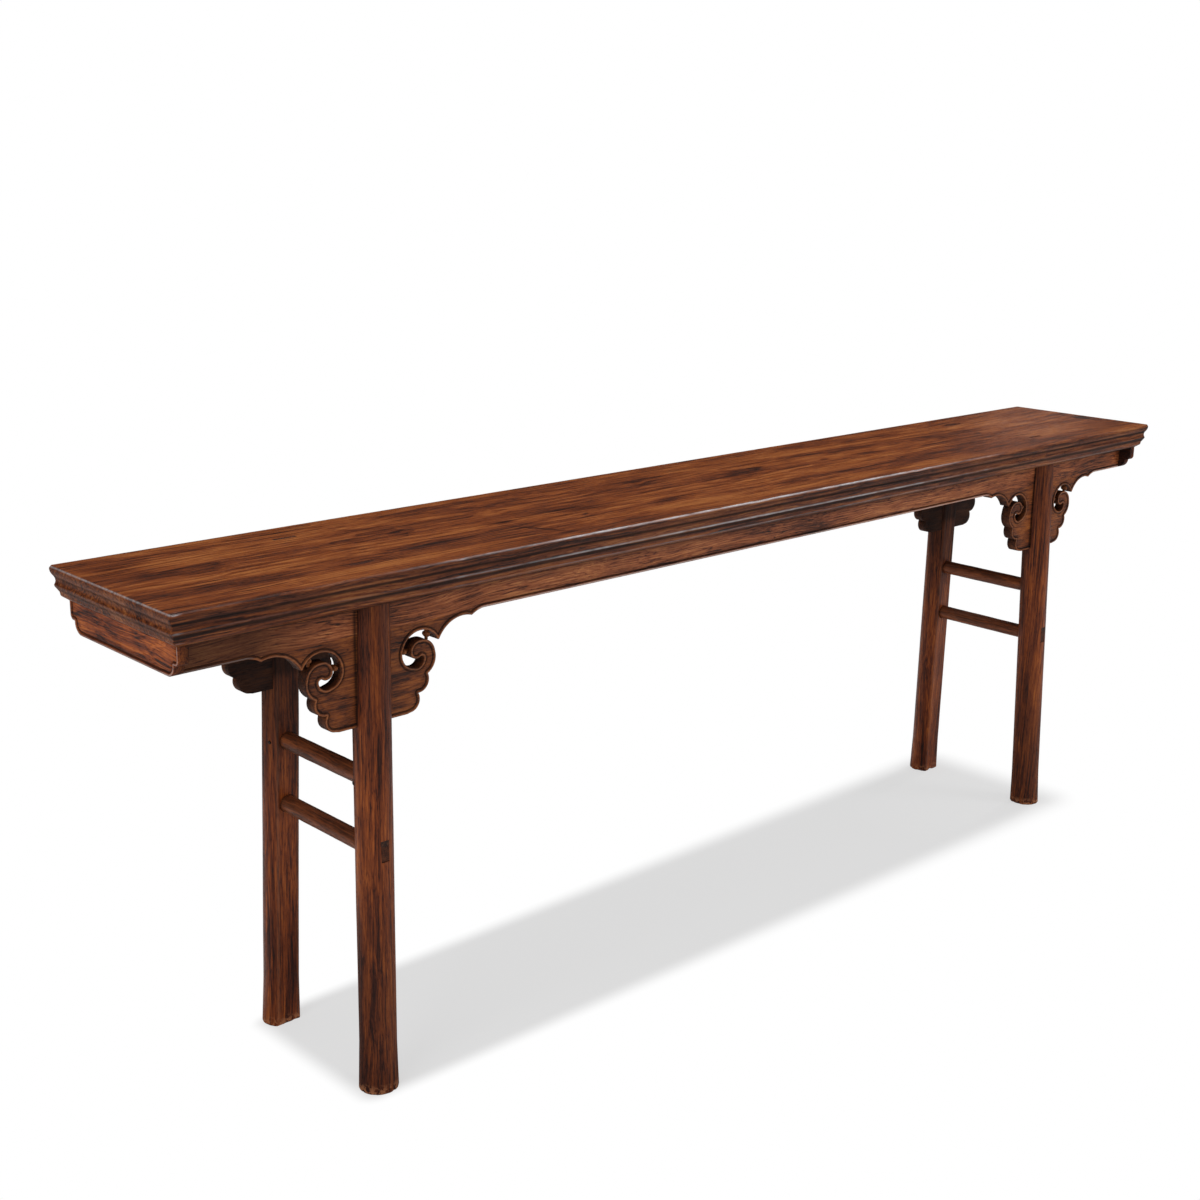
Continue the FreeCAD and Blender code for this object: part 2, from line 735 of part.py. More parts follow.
def build_spandrel(face_name, face, side_name, side, wing, direction):
    """One wing of carved spandrel: it runs into the leg's slot and its tongue into the apron.

    Its own origin is under the apron, in the middle of the leg. direction is its way along X.
    """
    name = f"spandrel_{face_name}_{side_name}_{wing}"
    gap = d.joint_clearance.value
    half = d.apron_thickness.value / 2
    root_share = gap / d.spandrel_length.value
    outline = spandrel_wire(
        SPANDREL_START_SHARE,
        SPANDREL_ARC_SHARES,
        [STEM_TURN_SHARE, (root_share, 1.0), (root_share, 0.0), (1.0, 0.0)],
        direction,
    )
    near_face = Part.Face(outline)
    near_face.translate(FreeCAD.Vector(0, -half, 0))
    board = near_face.extrude(FreeCAD.Vector(0, half * 2, 0))
    for away, down in PEARL_SHARES:
        centre = FreeCAD.Vector(d.spandrel_length.value * away * direction, -half, -d.spandrel_drop.value * down)
        pearl = Part.makeCylinder(d.pearl_radius.value, half * 2, centre, FreeCAD.Vector(0, 1, 0))
        board = board.fuse(pearl)
    tongue_length = d.spandrel_length.value * TONGUE_END_SHARE - gap
    low_x = gap if direction > 0 else -gap - tongue_length
    tongue_thickness = d.tongue_thickness.value
    tongue = Part.makeBox(
        tongue_length,
        tongue_thickness,
        d.tongue_height.value * 2,
        FreeCAD.Vector(low_x, -tongue_thickness / 2, -d.tongue_height.value),
    )
    board = board.fuse(tongue).removeSplitter()
    feature = doc.addObject("Part::Feature", name)
    feature.Shape = board
    place(feature, spandrel_root * side, apron_middle * face, apron_bottom)
    export_as(name, feature)


def check_and_export():
    """Stop on any failed object, then write one file for each piece."""
    doc.recompute()
    for thing in doc.Objects:
        if "Invalid" in thing.State or "Error" in thing.State:
            raise RuntimeError(f"{thing.Name} failed: {thing.State}")
    os.makedirs("parts", exist_ok=True)
    for thing in exported:
        shape = thing.Shape
        if shape.isNull() or not shape.isValid() or len(shape.Solids) != 1:
            raise RuntimeError(f"{thing.Label} is not one sound solid")
        shape.exportStep(f"parts/{thing.Label}.step")
        print(f"{thing.Label}: {shape.Volume / 1000:.1f} cm3")


build_top()
for batten_name, share in BATTEN_SHARES:
    build_batten(batten_name, share)
for face_name, face in FACES.items():
    build_apron(face_name, face)
for side_name, side in SIDES.items():
    build_end_board(side_name, side)
    for face_name, face in FACES.items():
        build_leg(face_name, face, side_name, side)
        build_spandrel(face_name, face, side_name, side, "outer", side)
        build_spandrel(face_name, face, side_name, side, "inner", -side)
        build_wedge(face_name, face, side_name, side)
        build_peg(face_name, face, side_name, side)
    build_stretcher("upper", upper_level, side_name, side)
    build_stretcher("lower", lower_level, side_name, side)
check_and_export()
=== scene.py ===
import logging
import math
from dataclasses import dataclass, field
from enum import Enum

import bpy
import numpy as np
from mathutils import Matrix, Vector


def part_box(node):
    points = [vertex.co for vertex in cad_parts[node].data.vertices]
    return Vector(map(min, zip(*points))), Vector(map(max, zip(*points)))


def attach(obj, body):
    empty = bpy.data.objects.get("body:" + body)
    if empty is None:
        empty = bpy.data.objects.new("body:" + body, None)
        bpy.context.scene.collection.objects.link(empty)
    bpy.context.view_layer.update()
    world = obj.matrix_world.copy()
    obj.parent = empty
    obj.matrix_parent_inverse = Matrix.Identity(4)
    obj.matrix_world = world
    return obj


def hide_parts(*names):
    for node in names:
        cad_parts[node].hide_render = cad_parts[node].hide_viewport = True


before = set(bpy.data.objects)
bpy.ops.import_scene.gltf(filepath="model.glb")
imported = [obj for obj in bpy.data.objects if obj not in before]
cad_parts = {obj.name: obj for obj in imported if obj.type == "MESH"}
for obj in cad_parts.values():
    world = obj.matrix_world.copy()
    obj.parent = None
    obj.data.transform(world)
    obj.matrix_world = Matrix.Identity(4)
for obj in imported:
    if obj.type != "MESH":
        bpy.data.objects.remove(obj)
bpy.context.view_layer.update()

# A long, narrow altar table. Lengths are in metres, X runs along the table, the front is at -Y
# and Z is up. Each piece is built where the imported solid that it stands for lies.

MM = 0.001
BODY = "root"
WHITE = (1.0, 1.0, 1.0, 1.0)
# how far apart the points of an arc are
ARC_STEP = 0.8 * MM
BATTENS = ("batten_left", "batten_centre", "batten_right")
log = logging.getLogger("altar_table")

Tree = bpy.types.NodeTree
Node = bpy.types.Node
Socket = bpy.types.NodeSocket
Value = Node | Socket | float | tuple
Material = bpy.types.Material
Object = bpy.types.Object
Array = np.ndarray
Faces = list[tuple[int, ...]]

# the node types that are used most
MATH, VECTOR, RANGE = "ShaderNodeMath", "ShaderNodeVectorMath", "ShaderNodeMapRange"
NOISE, SPLIT, COMBINE = "ShaderNodeTexNoise", "ShaderNodeSeparateXYZ", "ShaderNodeCombineXYZ"


class Grain(Enum):
    """Which way a board's grain runs: the axes along it, across it and through it."""

    ALONG_X = ("X", "Y", "Z")
    ALONG_Y = ("Y", "X", "Z")
    ALONG_Z = ("Z", "X", "Y")


class Side(Enum):
    """The two ends of the table. The value is the way out along X."""

    LEFT = -1
    RIGHT = 1

    def outer(self, node: str) -> float:
        """How far out a solid reaches towards this end, along X."""
        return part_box(node)[(1 + self.value) // 2].x


class Face(Enum):
    """The two long faces of the table. The value is the way out along Y."""

    FRONT = -1
    BACK = 1

    def outer(self, node: str) -> float:
        """How far out a solid reaches towards this face, along Y."""
        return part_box(node)[(1 + self.value) // 2].y

    def inner(self, node: str) -> float:
        """Where a solid ends on the side that is turned away from this face, along Y."""
        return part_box(node)[(1 - self.value) // 2].y


class Reach(Enum):
    """Which way a carved wing points from its leg: to the table's middle or to its end."""

    INNER = -1
    OUTER = 1


def srgb(code: str) -> tuple[float, float, float, float]:
    """Turn an sRGB hex colour into linear values.

    Args:
        code: six hex digits after a hash.

    Returns:
        Linear red, green, blue and an alpha of one.
    """
    channels = [int(code[i : i + 2], 16) / 255 for i in (1, 3, 5)]
    linear = [c / 12.92 if c <= 0.04045 else ((c + 0.055) / 1.055) ** 2.4 for c in channels]
    return (*linear, 1.0)


def add_node(tree: Tree, kind: str, *values: object, named: dict | None = None, **settings: object) -> Node:
    """Add one node with its settings, input values and links.

    Args:
        tree: the node tree that takes the node.
        kind: the node's type name.
        values: what the inputs take in turn: a plain value, a socket, a node for its first output,
            a list of nodes where an input takes several, or None to leave the input as it is.
        named: the same for inputs by their name or number.
        settings: the node's own properties.

    Returns:
        The new node.
    """
    node = tree.nodes.new(kind)
    for name, setting in settings.items():
        setattr(node, name, setting)
    for key, value in [*enumerate(values), *(named or {}).items()]:
        for given in value if isinstance(value, list) else [value]:
            source = given.outputs[0] if isinstance(given, Node) else given
            if isinstance(source, Socket):
                tree.links.new(source, node.inputs[key])
            elif source is not None:
                node.inputs[key].default_value = source
    return node


def hump(places: Array, centre: float, width: float, power: int = 2) -> Array:
    """A smooth hump of height one, which has sunk to about a third a width from its centre."""
    return np.exp(-(((places - centre) / width) ** power))


def waves(places: Array, seed: int, length: float, layers: int = 5) -> Array:
    """A smooth random line.

    Args:
        places: where along the line, in metres.
        seed: which line it is.
        length: the longest wave in metres.
        layers: how many waves are added, each shorter and lower than the last.

    Returns:
        Values between about minus one and one.
    """
    shorter, lower, whole = 1.7, 0.75, 2.2
    random = np.random.default_rng(seed)
    total = np.zeros_like(places)
    for layer in range(layers):
        size = length / shorter**layer
        total += np.sin(places * math.tau / size + random.uniform(0, math.tau)) * lower**layer
    return total / whole


def new_material(name: str) -> Material:
    """Make a material whose node tree is still empty."""
    material = bpy.data.materials.new(name)
    material.use_nodes = True
    material.node_tree.nodes.clear()
    return material


@dataclass(frozen=True)
class Mark:
    """A dark knot, stain or plug on the upper side of the plank.

    Its place, length and width are in metres and its turn is in degrees. depth is how much it
    darkens the tone.
    """

    x: float
    y: float
    length: float
    width: float
    depth: float
    turn: float = 0.0


@dataclass(frozen=True)
class WoodFinish:
    """Old elm, planed or carved by hand and lacquered dark, then rubbed and waxed for years.

    The eye gets a figure drawn out along the grain, from black where lacquer stays in the pores
    and low places to orange where it is thin, paler rubbed edges that also carry painted
    highlights, dirt in the corners together with painted shade, and a satin shine. tones run from
    the lacquer in the pores, through the brown, to the bare orange wood.
    A pair of lengths is the real length and width of one streak of a pattern, in millimetres.
    """

    name: str
    grain: Grain
    tones: tuple[str, str, str, str, str]
    clouds: tuple[float, float] = (520.0, 70.0)
    streaks: tuple[float, float] = (280.0, 12.0)
    lines: tuple[float, float] = (150.0, 2.6)
    fibres: tuple[float, float] = (45.0, 1.1)
    # what the clouds, streaks, lines, fibres and growth rings add to the tone
    figure_shares: tuple[float, ...] = (0.46, 0.27, 0.46, 0.28, -0.16)
    # real pores are half as coarse: these are drawn so that they show
    pores: tuple[float, float] = (14.0, 0.9)
    pore_depth: float = 0.24
    veins: tuple[float, float] = (420.0, 34.0)
    vein_gaps: tuple[float, float] = (200.0, 45.0)
    vein_depth: float = 0.3
    # the growth rings: their spacing in millimetres, the heart's place across and through the
    # board in metres, how far it leans and how soon a ring turns dark
    ring_spacing: float = 7.0
    heart: tuple[float, float] = (0.02, 0.70)
    tilt: float = 0.012
    ring_power: float = 2.2
    # the slow bends of the grain, and how far they reach in millimetres
    bends: tuple[float, float] = (416.66667, 142.85714)
    wander: float = 22.0
    contrast: float = 1.0
    brightness: float = 0.0
    # lacquer left in the low places: broad and thin streaks, and how much of the wood they take
    lacquer: float = 0.35
    broad_lacquer: tuple[float, float] = (340.0, 18.0)
    thin_lacquer: tuple[float, float] = (120.0, 3.0)
    lacquer_tone: str = "#1e1311"
    roughness: float = 0.34
    specular: float = 0.2
    # how deep the open grain is, in millimetres
    relief: float = 0.5
    rubs: tuple[float, float] = (26.0, 6.0)
    # the colour of rubbed edges, which on the plank, the frame and the end boards also paints a highlight
    worn_and_glint: str = "#a0623a"
    wear: float = 0.7
    # the colour of dirt, which also paints shade under the plank, at joints, in hollows and on unlit faces
    dirt_and_shade: str = "#140c0a"
    dirt_and_shade_cover: float = 0.88
    marks: tuple[Mark, ...] = ()
    # the marks' ragged edges, which don't change with the depth
    rags: tuple[float, float, float] = (90.90909, 6.6666667, math.inf)
    foot_wear: bool = False
    chips: tuple[float, float] = (9.0, 9.0)
    bare_wood: str = "#b87850"

    def make(self) -> Material:
        """Build the material's nodes.

        Returns:
            The finished material.
        """
        material = new_material(self.name)
        tree = material.node_tree
        place = add_node(tree, "ShaderNodeTexCoord").outputs["Object"]
        split = add_node(tree, SPLIT, place).outputs
        board = add_node(tree, COMBINE, *(split[axis] for axis in self.grain.value))
        bent = self._bend(tree, board)
        clouds = self._noise(tree, bent, self.clouds, 5.0)
        streaks = self._noise(tree, bent, self.streaks, 4.0)
        lines = self._noise(tree, bent, self.lines, 3.0)
        fibres = self._noise(tree, bent, self.fibres, 3.0)
        rings = self._rings(tree, bent)
        pores = self._pores(tree, bent)
        layers = (clouds, streaks, lines, fibres, rings)
        figure = [(layer, share * self.contrast) for layer, share in zip(layers, self.figure_shares)]
        middle = sum(share for _, share in figure) / 2
        tone = self._add(tree, figure, 0.5 - middle + self.brightness)
        tone = self._add(tree, [(pores, -self.pore_depth), (self._veins(tree, bent), -self.vein_depth)], tone)
        if self.marks:
            tone = self._add(tree, [(self._marks(tree, place), -1.0)], tone)
        # the first share paints rubbed edges together with painted highlights, the second dirt together with
        # painted shade
        shares = [add_node(tree, "ShaderNodeAttribute", attribute_name=name) for name in ("wear", "grime")]
        wear, grime = (node.outputs["Fac"] for node in shares)
        patchy = self._add(tree, [(self._noise(tree, board, self.rubs, 3.0), 0.8)], 0.4)
        rubbed = self._times(tree, wear, patchy, self.wear)
        covers = [
            (self._lacquer_left(tree, bent), self.lacquer_tone),
            (rubbed, self.worn_and_glint),
            (self._times(tree, grime, 1.0, self.dirt_and_shade_cover), self.dirt_and_shade),
        ]
        if self.foot_wear:
            covers.append((self._chipped(tree, split["Z"], board), self.bare_wood))
        colour = self._ramp(tree, tone)
        for share, code in covers:
            named = {0: share, 6: colour, 7: srgb(code)}
            colour = add_node(tree, "ShaderNodeMix", named=named, data_type="RGBA").outputs[2]
        dullness = [(fibres, 0.12), (pores, 0.2), (clouds, -0.08), (rubbed, -0.12), (grime, 0.4)]
        height = self._add(tree, [(fibres, 0.4), (lines, 0.4), (rings, -0.4), (pores, -1.0)], 0.5)
        named = {"Height": height, "Strength": 0.3, "Distance": self.relief * MM}
        bump = add_node(tree, "ShaderNodeBump", named=named)
        named = {
            "Base Color": colour,
            "Roughness": self._add(tree, dullness, self.roughness),
            "Normal": bump,
            "Metallic": 0.0,
            "IOR": 1.5,
            "Specular IOR Level": self.specular,
        }
        shader = add_node(tree, "ShaderNodeBsdfPrincipled", named=named)
        add_node(tree, "ShaderNodeOutputMaterial", shader)
        return material

    @staticmethod
    def _add(tree: Tree, terms: list[tuple[Value, float]], start: Value) -> Value:
        """Add up values, each times its own share.

        Args:
            tree: the material's tree.
            terms: pairs of a value and its share.
            start: what the sum starts from.

        Returns:
            The sum.
        """
        total = start
        for value, share in terms:
            total = add_node(tree, MATH, value, share, total, operation="MULTIPLY_ADD")
        return total

    @staticmethod
    def _times(tree: Tree, first: Value, second: Value, third: Value) -> Node:
        """Multiply three values and keep the result between nought and one."""
        once = add_node(tree, MATH, first, second, operation="MULTIPLY")
        return add_node(tree, MATH, once, third, operation="MULTIPLY", use_clamp=True)

    @staticmethod
    def _drawn(tree: Tree, place: Value, size: tuple[float, ...], detail: float, rough: float = 0.58) -> Node:
        """Raw noise drawn out along the grain.

        Args:
            tree: the material's tree.
            place: coordinates with the grain along their first axis.
            size: a streak's length, width and depth in millimetres. Without a depth it is the width.
            detail: how many finer layers the noise has.
            rough: how strong the finer layers are.

        Returns:
            The noise's node.
        """
        scale = tuple(1 / (length * MM) for length in (*size, size[-1])[:3])
        drawn = add_node(tree, VECTOR, place, scale, operation="MULTIPLY")
        named = {"Vector": drawn, "Scale": 1.0, "Detail": detail, "Roughness": rough}
        return add_node(tree, NOISE, named=named)

    def _noise(self, tree: Tree, place: Value, size: tuple[float, ...], detail: float) -> Node:
        """Noise drawn out along the grain and spread evenly between nought and one."""
        return add_node(tree, RANGE, self._drawn(tree, place, size, detail), 0.3, 0.7, 0.0, 1.0)

    def _bend(self, tree: Tree, board: Value) -> Node:
        """Let the grain wander sideways, slowly along its length.

        Args:
            tree: the material's tree.
            board: coordinates with the grain along their first axis.

        Returns:
            The bent coordinates.
        """
        noise = self._drawn(tree, board, self.bends, 3.0, 0.5)
        centred = add_node(tree, VECTOR, noise.outputs["Color"], (0.5, 0.5, 0.5), operation="SUBTRACT")
        reach = self.wander * 2 * MM
        return add_node(tree, VECTOR, centred, (0.0, reach, reach), board, operation="MULTIPLY_ADD")

    def _rings(self, tree: Tree, bent: Value) -> Node:
        """Growth rings round a heart that isn't quite parallel to the board, so that they run out in arches.

        Args:
            tree: the material's tree.
            bent: the bent coordinates.

        Returns:
            A value that grows from nought to one across each ring.
        """
        split = add_node(tree, SPLIT, bent).outputs
        across = self._add(tree, [(split[0], -self.tilt)], split[1])
        away = add_node(tree, COMBINE, None, across, split[2])
        centred = add_node(tree, VECTOR, away, (0.0, *self.heart), operation="SUBTRACT")
        radius = add_node(tree, VECTOR, centred, operation="LENGTH").outputs["Value"]
        count = add_node(tree, MATH, radius, self.ring_spacing * MM, operation="DIVIDE")
        ring = add_node(tree, MATH, count, operation="FRACT")
        return add_node(tree, MATH, ring, self.ring_power, operation="POWER")

    def _pores(self, tree: Tree, bent: Value) -> Node:
        """Open pores: short dark dashes where a fine noise is highest."""
        return add_node(tree, RANGE, self._noise(tree, bent, self.pores, 1.0), 0.66, 0.95, 0.0, 1.0)

    def _veins(self, tree: Tree, bent: Value) -> Node:
        """Thin black veins that follow the level lines of a slow noise, and fade in and out.

        Args:
            tree: the material's tree.
            bent: the bent coordinates.

        Returns:
            How much of a vein each place has.
        """
        levels, half_width, strength = 12.0, 0.22, 1.3
        noise = self._drawn(tree, bent, self.veins, 3.0)
        raised = add_node(tree, MATH, noise, levels, operation="MULTIPLY")
        wave = add_node(tree, MATH, raised, 1.0, operation="PINGPONG")
        near = add_node(tree, RANGE, wave, 0.0, half_width, 1.0, 0.0)
        return self._times(tree, near, self._noise(tree, bent, self.vein_gaps, 2.0), strength)

    def _marks(self, tree: Tree, place: Value) -> Value:
        """Knots and stains, each a soft spot with a ragged edge.

        Args:
            tree: the material's tree.
            place: object coordinates.

        Returns:
            How much darker each place is.
        """
        raggedness, full, gone = 2.2, 1.1, 2.4
        noise = self._drawn(tree, place, self.rags, 3.0, 0.5)
        total = 0.0
        for mark in self.marks:
            named = {
                "Vector": place,
                "Location": (mark.x, mark.y, 0.0),
                "Rotation": (0.0, 0.0, math.radians(mark.turn)),
                "Scale": (mark.length / 2, mark.width / 2, 1e6),
            }
            spot = add_node(tree, "ShaderNodeMapping", named=named, vector_type="TEXTURE")
            away = add_node(tree, VECTOR, spot, operation="LENGTH").outputs["Value"]
            edge = add_node(tree, MATH, noise, raggedness, away, operation="MULTIPLY_ADD")
            soft = add_node(tree, RANGE, edge, full, gone, mark.depth, 0.0, interpolation_type="SMOOTHSTEP")
            total = add_node(tree, MATH, soft, total, operation="ADD")
        return total

    def _ramp(self, tree: Tree, tone: Value) -> Node:
        """Give the tone its colour.

        Args:
            tree: the material's tree.
            tone: how light the wood is, from nought to one.

        Returns:
            The ramp's node.
        """
        node = add_node(tree, "ShaderNodeValToRGB", tone)
        ramp = node.color_ramp
        stops = (0.0, 0.27, 0.5, 0.73, 1.0)
        while len(ramp.elements) < len(stops):
            ramp.elements.new(0.5)
        for element, stop, code in zip(ramp.elements, stops, self.tones):
            element.position = stop
            element.color = srgb(code)
        return node

    def _lacquer_left(self, tree: Tree, bent: Value) -> Node:
        """Long streaks of near-black lacquer that was left in the low places.

        Args:
            tree: the material's tree.
            bent: the bent coordinates.

        Returns:
            How much lacquer each place has.
        """
        broad = self._noise(tree, bent, self.broad_lacquer, 4.0)
        thin = self._noise(tree, bent, self.thin_lacquer, 3.0)
        both = self._add(tree, [(broad, 0.62), (thin, 0.38)], 0.0)
        edge = 1.0 - self.lacquer
        return add_node(tree, RANGE, both, edge - 0.1, edge + 0.22, 0.0, 0.9)

    def _chipped(self, tree: Tree, level: Value, board: Value) -> Node:
        """Bare wood where the bottoms of the feet are chipped.

        Args:
            tree: the material's tree.
            level: the height above the floor.
            board: coordinates along the grain.

        Returns:
            How bare each place is.
        """
        low = add_node(tree, RANGE, level, 3 * MM, 18 * MM, 1.0, 0.0)
        chips = add_node(tree, RANGE, self._noise(tree, board, self.chips, 3.0), 0.42, 0.62)
        return self._times(tree, low, chips, 0.85)


# the largest knots, stains and plugs of the real plank
PLANK_MARKS = (
    Mark(-1.235, 0.085, 0.15, 0.11, 0.26, -20),
    Mark(-1.18, 0.01, 0.19, 0.06, 0.18),
    Mark(-0.572, -0.029, 0.06, 0.022, 0.62),
    Mark(-0.424, -0.068, 0.026, 0.01, 0.5, 20),
    Mark(-0.405, -0.02, 0.23, 0.06, 0.4),
    Mark(-0.561, -0.104, 0.13, 0.012, 0.4, -60),
    Mark(-0.221, -0.079, 0.14, 0.04, 0.4),
    Mark(0.091, 0.018, 0.2, 0.06, 0.34),
    Mark(0.47, 0.004, 0.11, 0.05, 0.28),
    Mark(0.911, 0.113, 0.07, 0.02, 0.45),
    Mark(0.865, 0.004, 0.03, 0.014, 0.5),
    Mark(1.27, -0.018, 0.05, 0.12, 0.5),
)

# Elm plank, planed and waxed, with most of its lacquer rubbed off. It looks warm and open in its
# figure, and its arrises are polished smooth by hands, with a pale painted highlight on them.
PLANK_WOOD = WoodFinish(
    "waxed_elm_plank",
    Grain.ALONG_X,
    ("#170905", "#411b0b", "#703617", "#8c4a22", "#aa6836"),
    clouds=(420.0, 58.0),
    streaks=(260.0, 10.0),
    lines=(140.0, 3.6),
    heart=(0.03, 0.74),
    contrast=1.4,
    brightness=0.05,
    vein_depth=0.12,
    lacquer=0.2,
    # a pale grey for the rubbed arrises, which paints their highlight
    worn_and_glint="#d8d4d6",
    wear=1.1,
    marks=PLANK_MARKS,
)
# Elm boards, planed and lacquered, seldom touched. They look streaky, with black veins, and their
# beads are rubbed, with a pinkish grey painted highlight on them.
FRAME_WOOD = WoodFinish(
    "lacquered_elm_frame",
    Grain.ALONG_X,
    ("#130906", "#4a2412", "#874727", "#aa6037", "#ca804c"),
    clouds=(260.0, 40.0),
    streaks=(200.0, 7.0),
    veins=(300.0, 16.0),
    lines=(90.0, 2.4),
    heart=(-0.16, 0.69),
    ring_spacing=4.0,
    contrast=1.1,
    brightness=0.11,
    vein_depth=0.5,
    lacquer=0.16,
    # a pinkish grey for the rubbed beads, which paints their highlight
    worn_and_glint="#cdaea2",
    wear=1.4,
)
# Elm, cut with gouges and lacquered. The tools broke the figure up, so it looks short and blotchy,
# and the beads show warm bare wood.
CARVED_WOOD = WoodFinish(
    "lacquered_elm_carving",
    Grain.ALONG_X,
    ("#120806", "#3a1a0d", "#6b3518", "#8b4a20", "#aa622d"),
    clouds=(64.0, 28.0),
    streaks=(60.0, 12.0),
    lines=(40.0, 2.8),
    veins=(160.0, 24.0),
    heart=(-0.16, 0.69),
    ring_spacing=9.0,
    wander=8.0,
    contrast=1.05,
    brightness=0.1,
    lacquer=0.22,
    worn_and_glint="#a86a44",
    wear=0.85,
)
# Elm boards that run across the table, planed and lacquered. They look redder and more strongly
# striped than the long boards, and their bead crests carry a pale grey painted highlight.
END_WOOD = WoodFinish(
    "lacquered_elm_end_board",
    Grain.ALONG_Y,
    ("#140805", "#461b0b", "#7c3613", "#a14d1c", "#c66a29"),
    clouds=(180.0, 30.0),
    heart=(1.1, 0.62),
    ring_spacing=5.0,
    contrast=1.5,
    brightness=0.07,
    vein_depth=0.55,
    lacquer=0.2,
    # a pale grey for the rubbed bead crests, which paints their highlight
    worn_and_glint="#b39c94",
    wear=1.0,
)
# Elm posts, rounded with a hand plane and lacquered. They look long-grained and even, with soft
# rubbed arrises and pale chips round the feet.
LEG_WOOD = WoodFinish(
    "lacquered_elm_leg",
    Grain.ALONG_Z,
    ("#150906", "#42190b", "#723416", "#964b1e", "#b9672b"),
    clouds=(260.0, 26.0),
    streaks=(300.0, 7.0),
    lines=(120.0, 2.8),
    heart=(0.84, 0.05),
    tilt=0.05,
    ring_spacing=6.0,
    wander=12.0,
    contrast=1.05,
    brightness=0.02,
    vein_depth=0.14,
    lacquer=0.1,
    worn_and_glint="#8f6650",
    wear=0.35,
    foot_wear=True,
)
# Elm bars, rounded with a spokeshave and lacquered. They look plain, a little duller than the legs.
BAR_WOOD = WoodFinish(
    "lacquered_elm_bar",
    Grain.ALONG_Y,
    ("#180b08", "#421e10", "#6f381c", "#8e4b26", "#ac6433"),
    clouds=(120.0, 16.0),
    streaks=(200.0, 6.0),
    heart=(0.9, 0.4),
    ring_spacing=4.0,
    contrast=0.8,
    vein_depth=0.12,
    lacquer=0.26,
    worn_and_glint="#8f6650",
    wear=0.5,
)
# End grain of the pegs and wedges, cut flush. It drinks the lacquer, so it looks dark and dull.
PLUG_WOOD = WoodFinish(
    "dark_end_grain",
    Grain.ALONG_Y,
    ("#0f0807", "#22140e", "#3a2116", "#54301e", "#6d4228"),
    clouds=(20.0, 10.0),
    streaks=(20.0, 3.0),
    heart=(0.9, 0.4),
    ring_spacing=2.0,
    roughness=0.5,
)


@dataclass
class Shell:
    """A piece that is still being built: its points and faces, and how rubbed and dirty each point is."""

    points: Array
    faces: Faces
    wear: Array | float = 0.0
    grime: Array | float = 0.0

    def __post_init__(self) -> None:
        """Give every point its shares."""
        self.wear, self.grime = (np.full(len(self.points), share, float) for share in (self.wear, self.grime))

    def placed(self, matrix: Matrix) -> "Shell":
        """Move the shell, turning its faces over where the matrix mirrors it.

        Args:
            matrix: where the shell goes.

        Returns:
            A moved copy.
        """
        rows = np.array(matrix)
        points = self.points @ rows[:3, :3].T + rows[:3, 3]
        faces = [face[::-1] for face in self.faces] if matrix.determinant() < 0 else self.faces
        return Shell(points, faces, self.wear, self.grime)


def new_object(name: str, data: bpy.types.ID) -> Object:
    """Put data into the scene as a new object at the origin."""
    new = bpy.data.objects.new(name, data)
    bpy.context.scene.collection.objects.link(new)
    return new


def set_shares(mesh: bpy.types.Mesh, **shares: Array | float) -> None:
    """Store shares on a mesh's points.

    Args:
        mesh: the mesh that takes them.
        shares: by name, one value for all points or one for each.
    """
    for name, share in shares.items():
        attribute = mesh.attributes.new(name, "FLOAT", "POINT")
        attribute.data.foreach_set("value", np.full(len(mesh.vertices), share, np.float32))


def make_piece(name: str, shell: Shell, material: Material, sharp: float = 40.0) -> Object:
    """Turn a shell into an object with smooth faces and sharp creases.

    Args:
        name: the piece's name.
        shell: its points and faces.
        material: its finish.
        sharp: creases over this many degrees stay sharp.

    Returns:
        The new object.
    """
    mesh = bpy.data.meshes.new(name)
    mesh.from_pydata(shell.points.tolist(), [], shell.faces)
    set_shares(mesh, wear=shell.wear, grime=shell.grime)
    mesh.materials.append(material)
    mesh.polygons.foreach_set("use_smooth", np.ones(len(mesh.polygons), bool))
    mesh.update()
    mesh.set_sharp_from_angle(angle=math.radians(sharp))
    return new_object(name, mesh)


def hand_in(piece: Object, slot: str, *nodes: str) -> None:
    """Let a piece ride on the table and stand for its solids.

    Args:
        piece: the finished piece.
        slot: the record's material slot. It is not used.
        nodes: the solids that it replaces.
    """
    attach(piece, BODY)
    if nodes:
        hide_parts(*nodes)
    log.info("%s: %d faces", piece.name, len(piece.data.polygons))


def between_rings(count: int) -> Faces:
    """Faces between two rings of as many points, one for each step round them."""
    return [(i, (i + 1) % count, (i + 1) % count + count, i + count) for i in range(count)]


def box_shell(low: tuple | Vector, high: tuple | Vector, margin: float = 0.0, grime: float = 0.0) -> Shell:
    """A closed box between two corners.

    Args:
        low: its lowest corner.
        high: its highest corner.
        margin: how far it is grown on all sides.
        grime: how dirty it is.

    Returns:
        The box.
    """
    xs, ys, zs = ((low[axis] - margin, high[axis] + margin) for axis in range(3))
    corners = [(x, y, z) for x in xs for y in ys for z in zs]
    faces = [(0, 1, 3, 2), (4, 6, 7, 5), (0, 4, 5, 1), (2, 3, 7, 6), (0, 2, 6, 4), (1, 5, 7, 3)]
    return Shell(np.array(corners), faces, grime=grime)


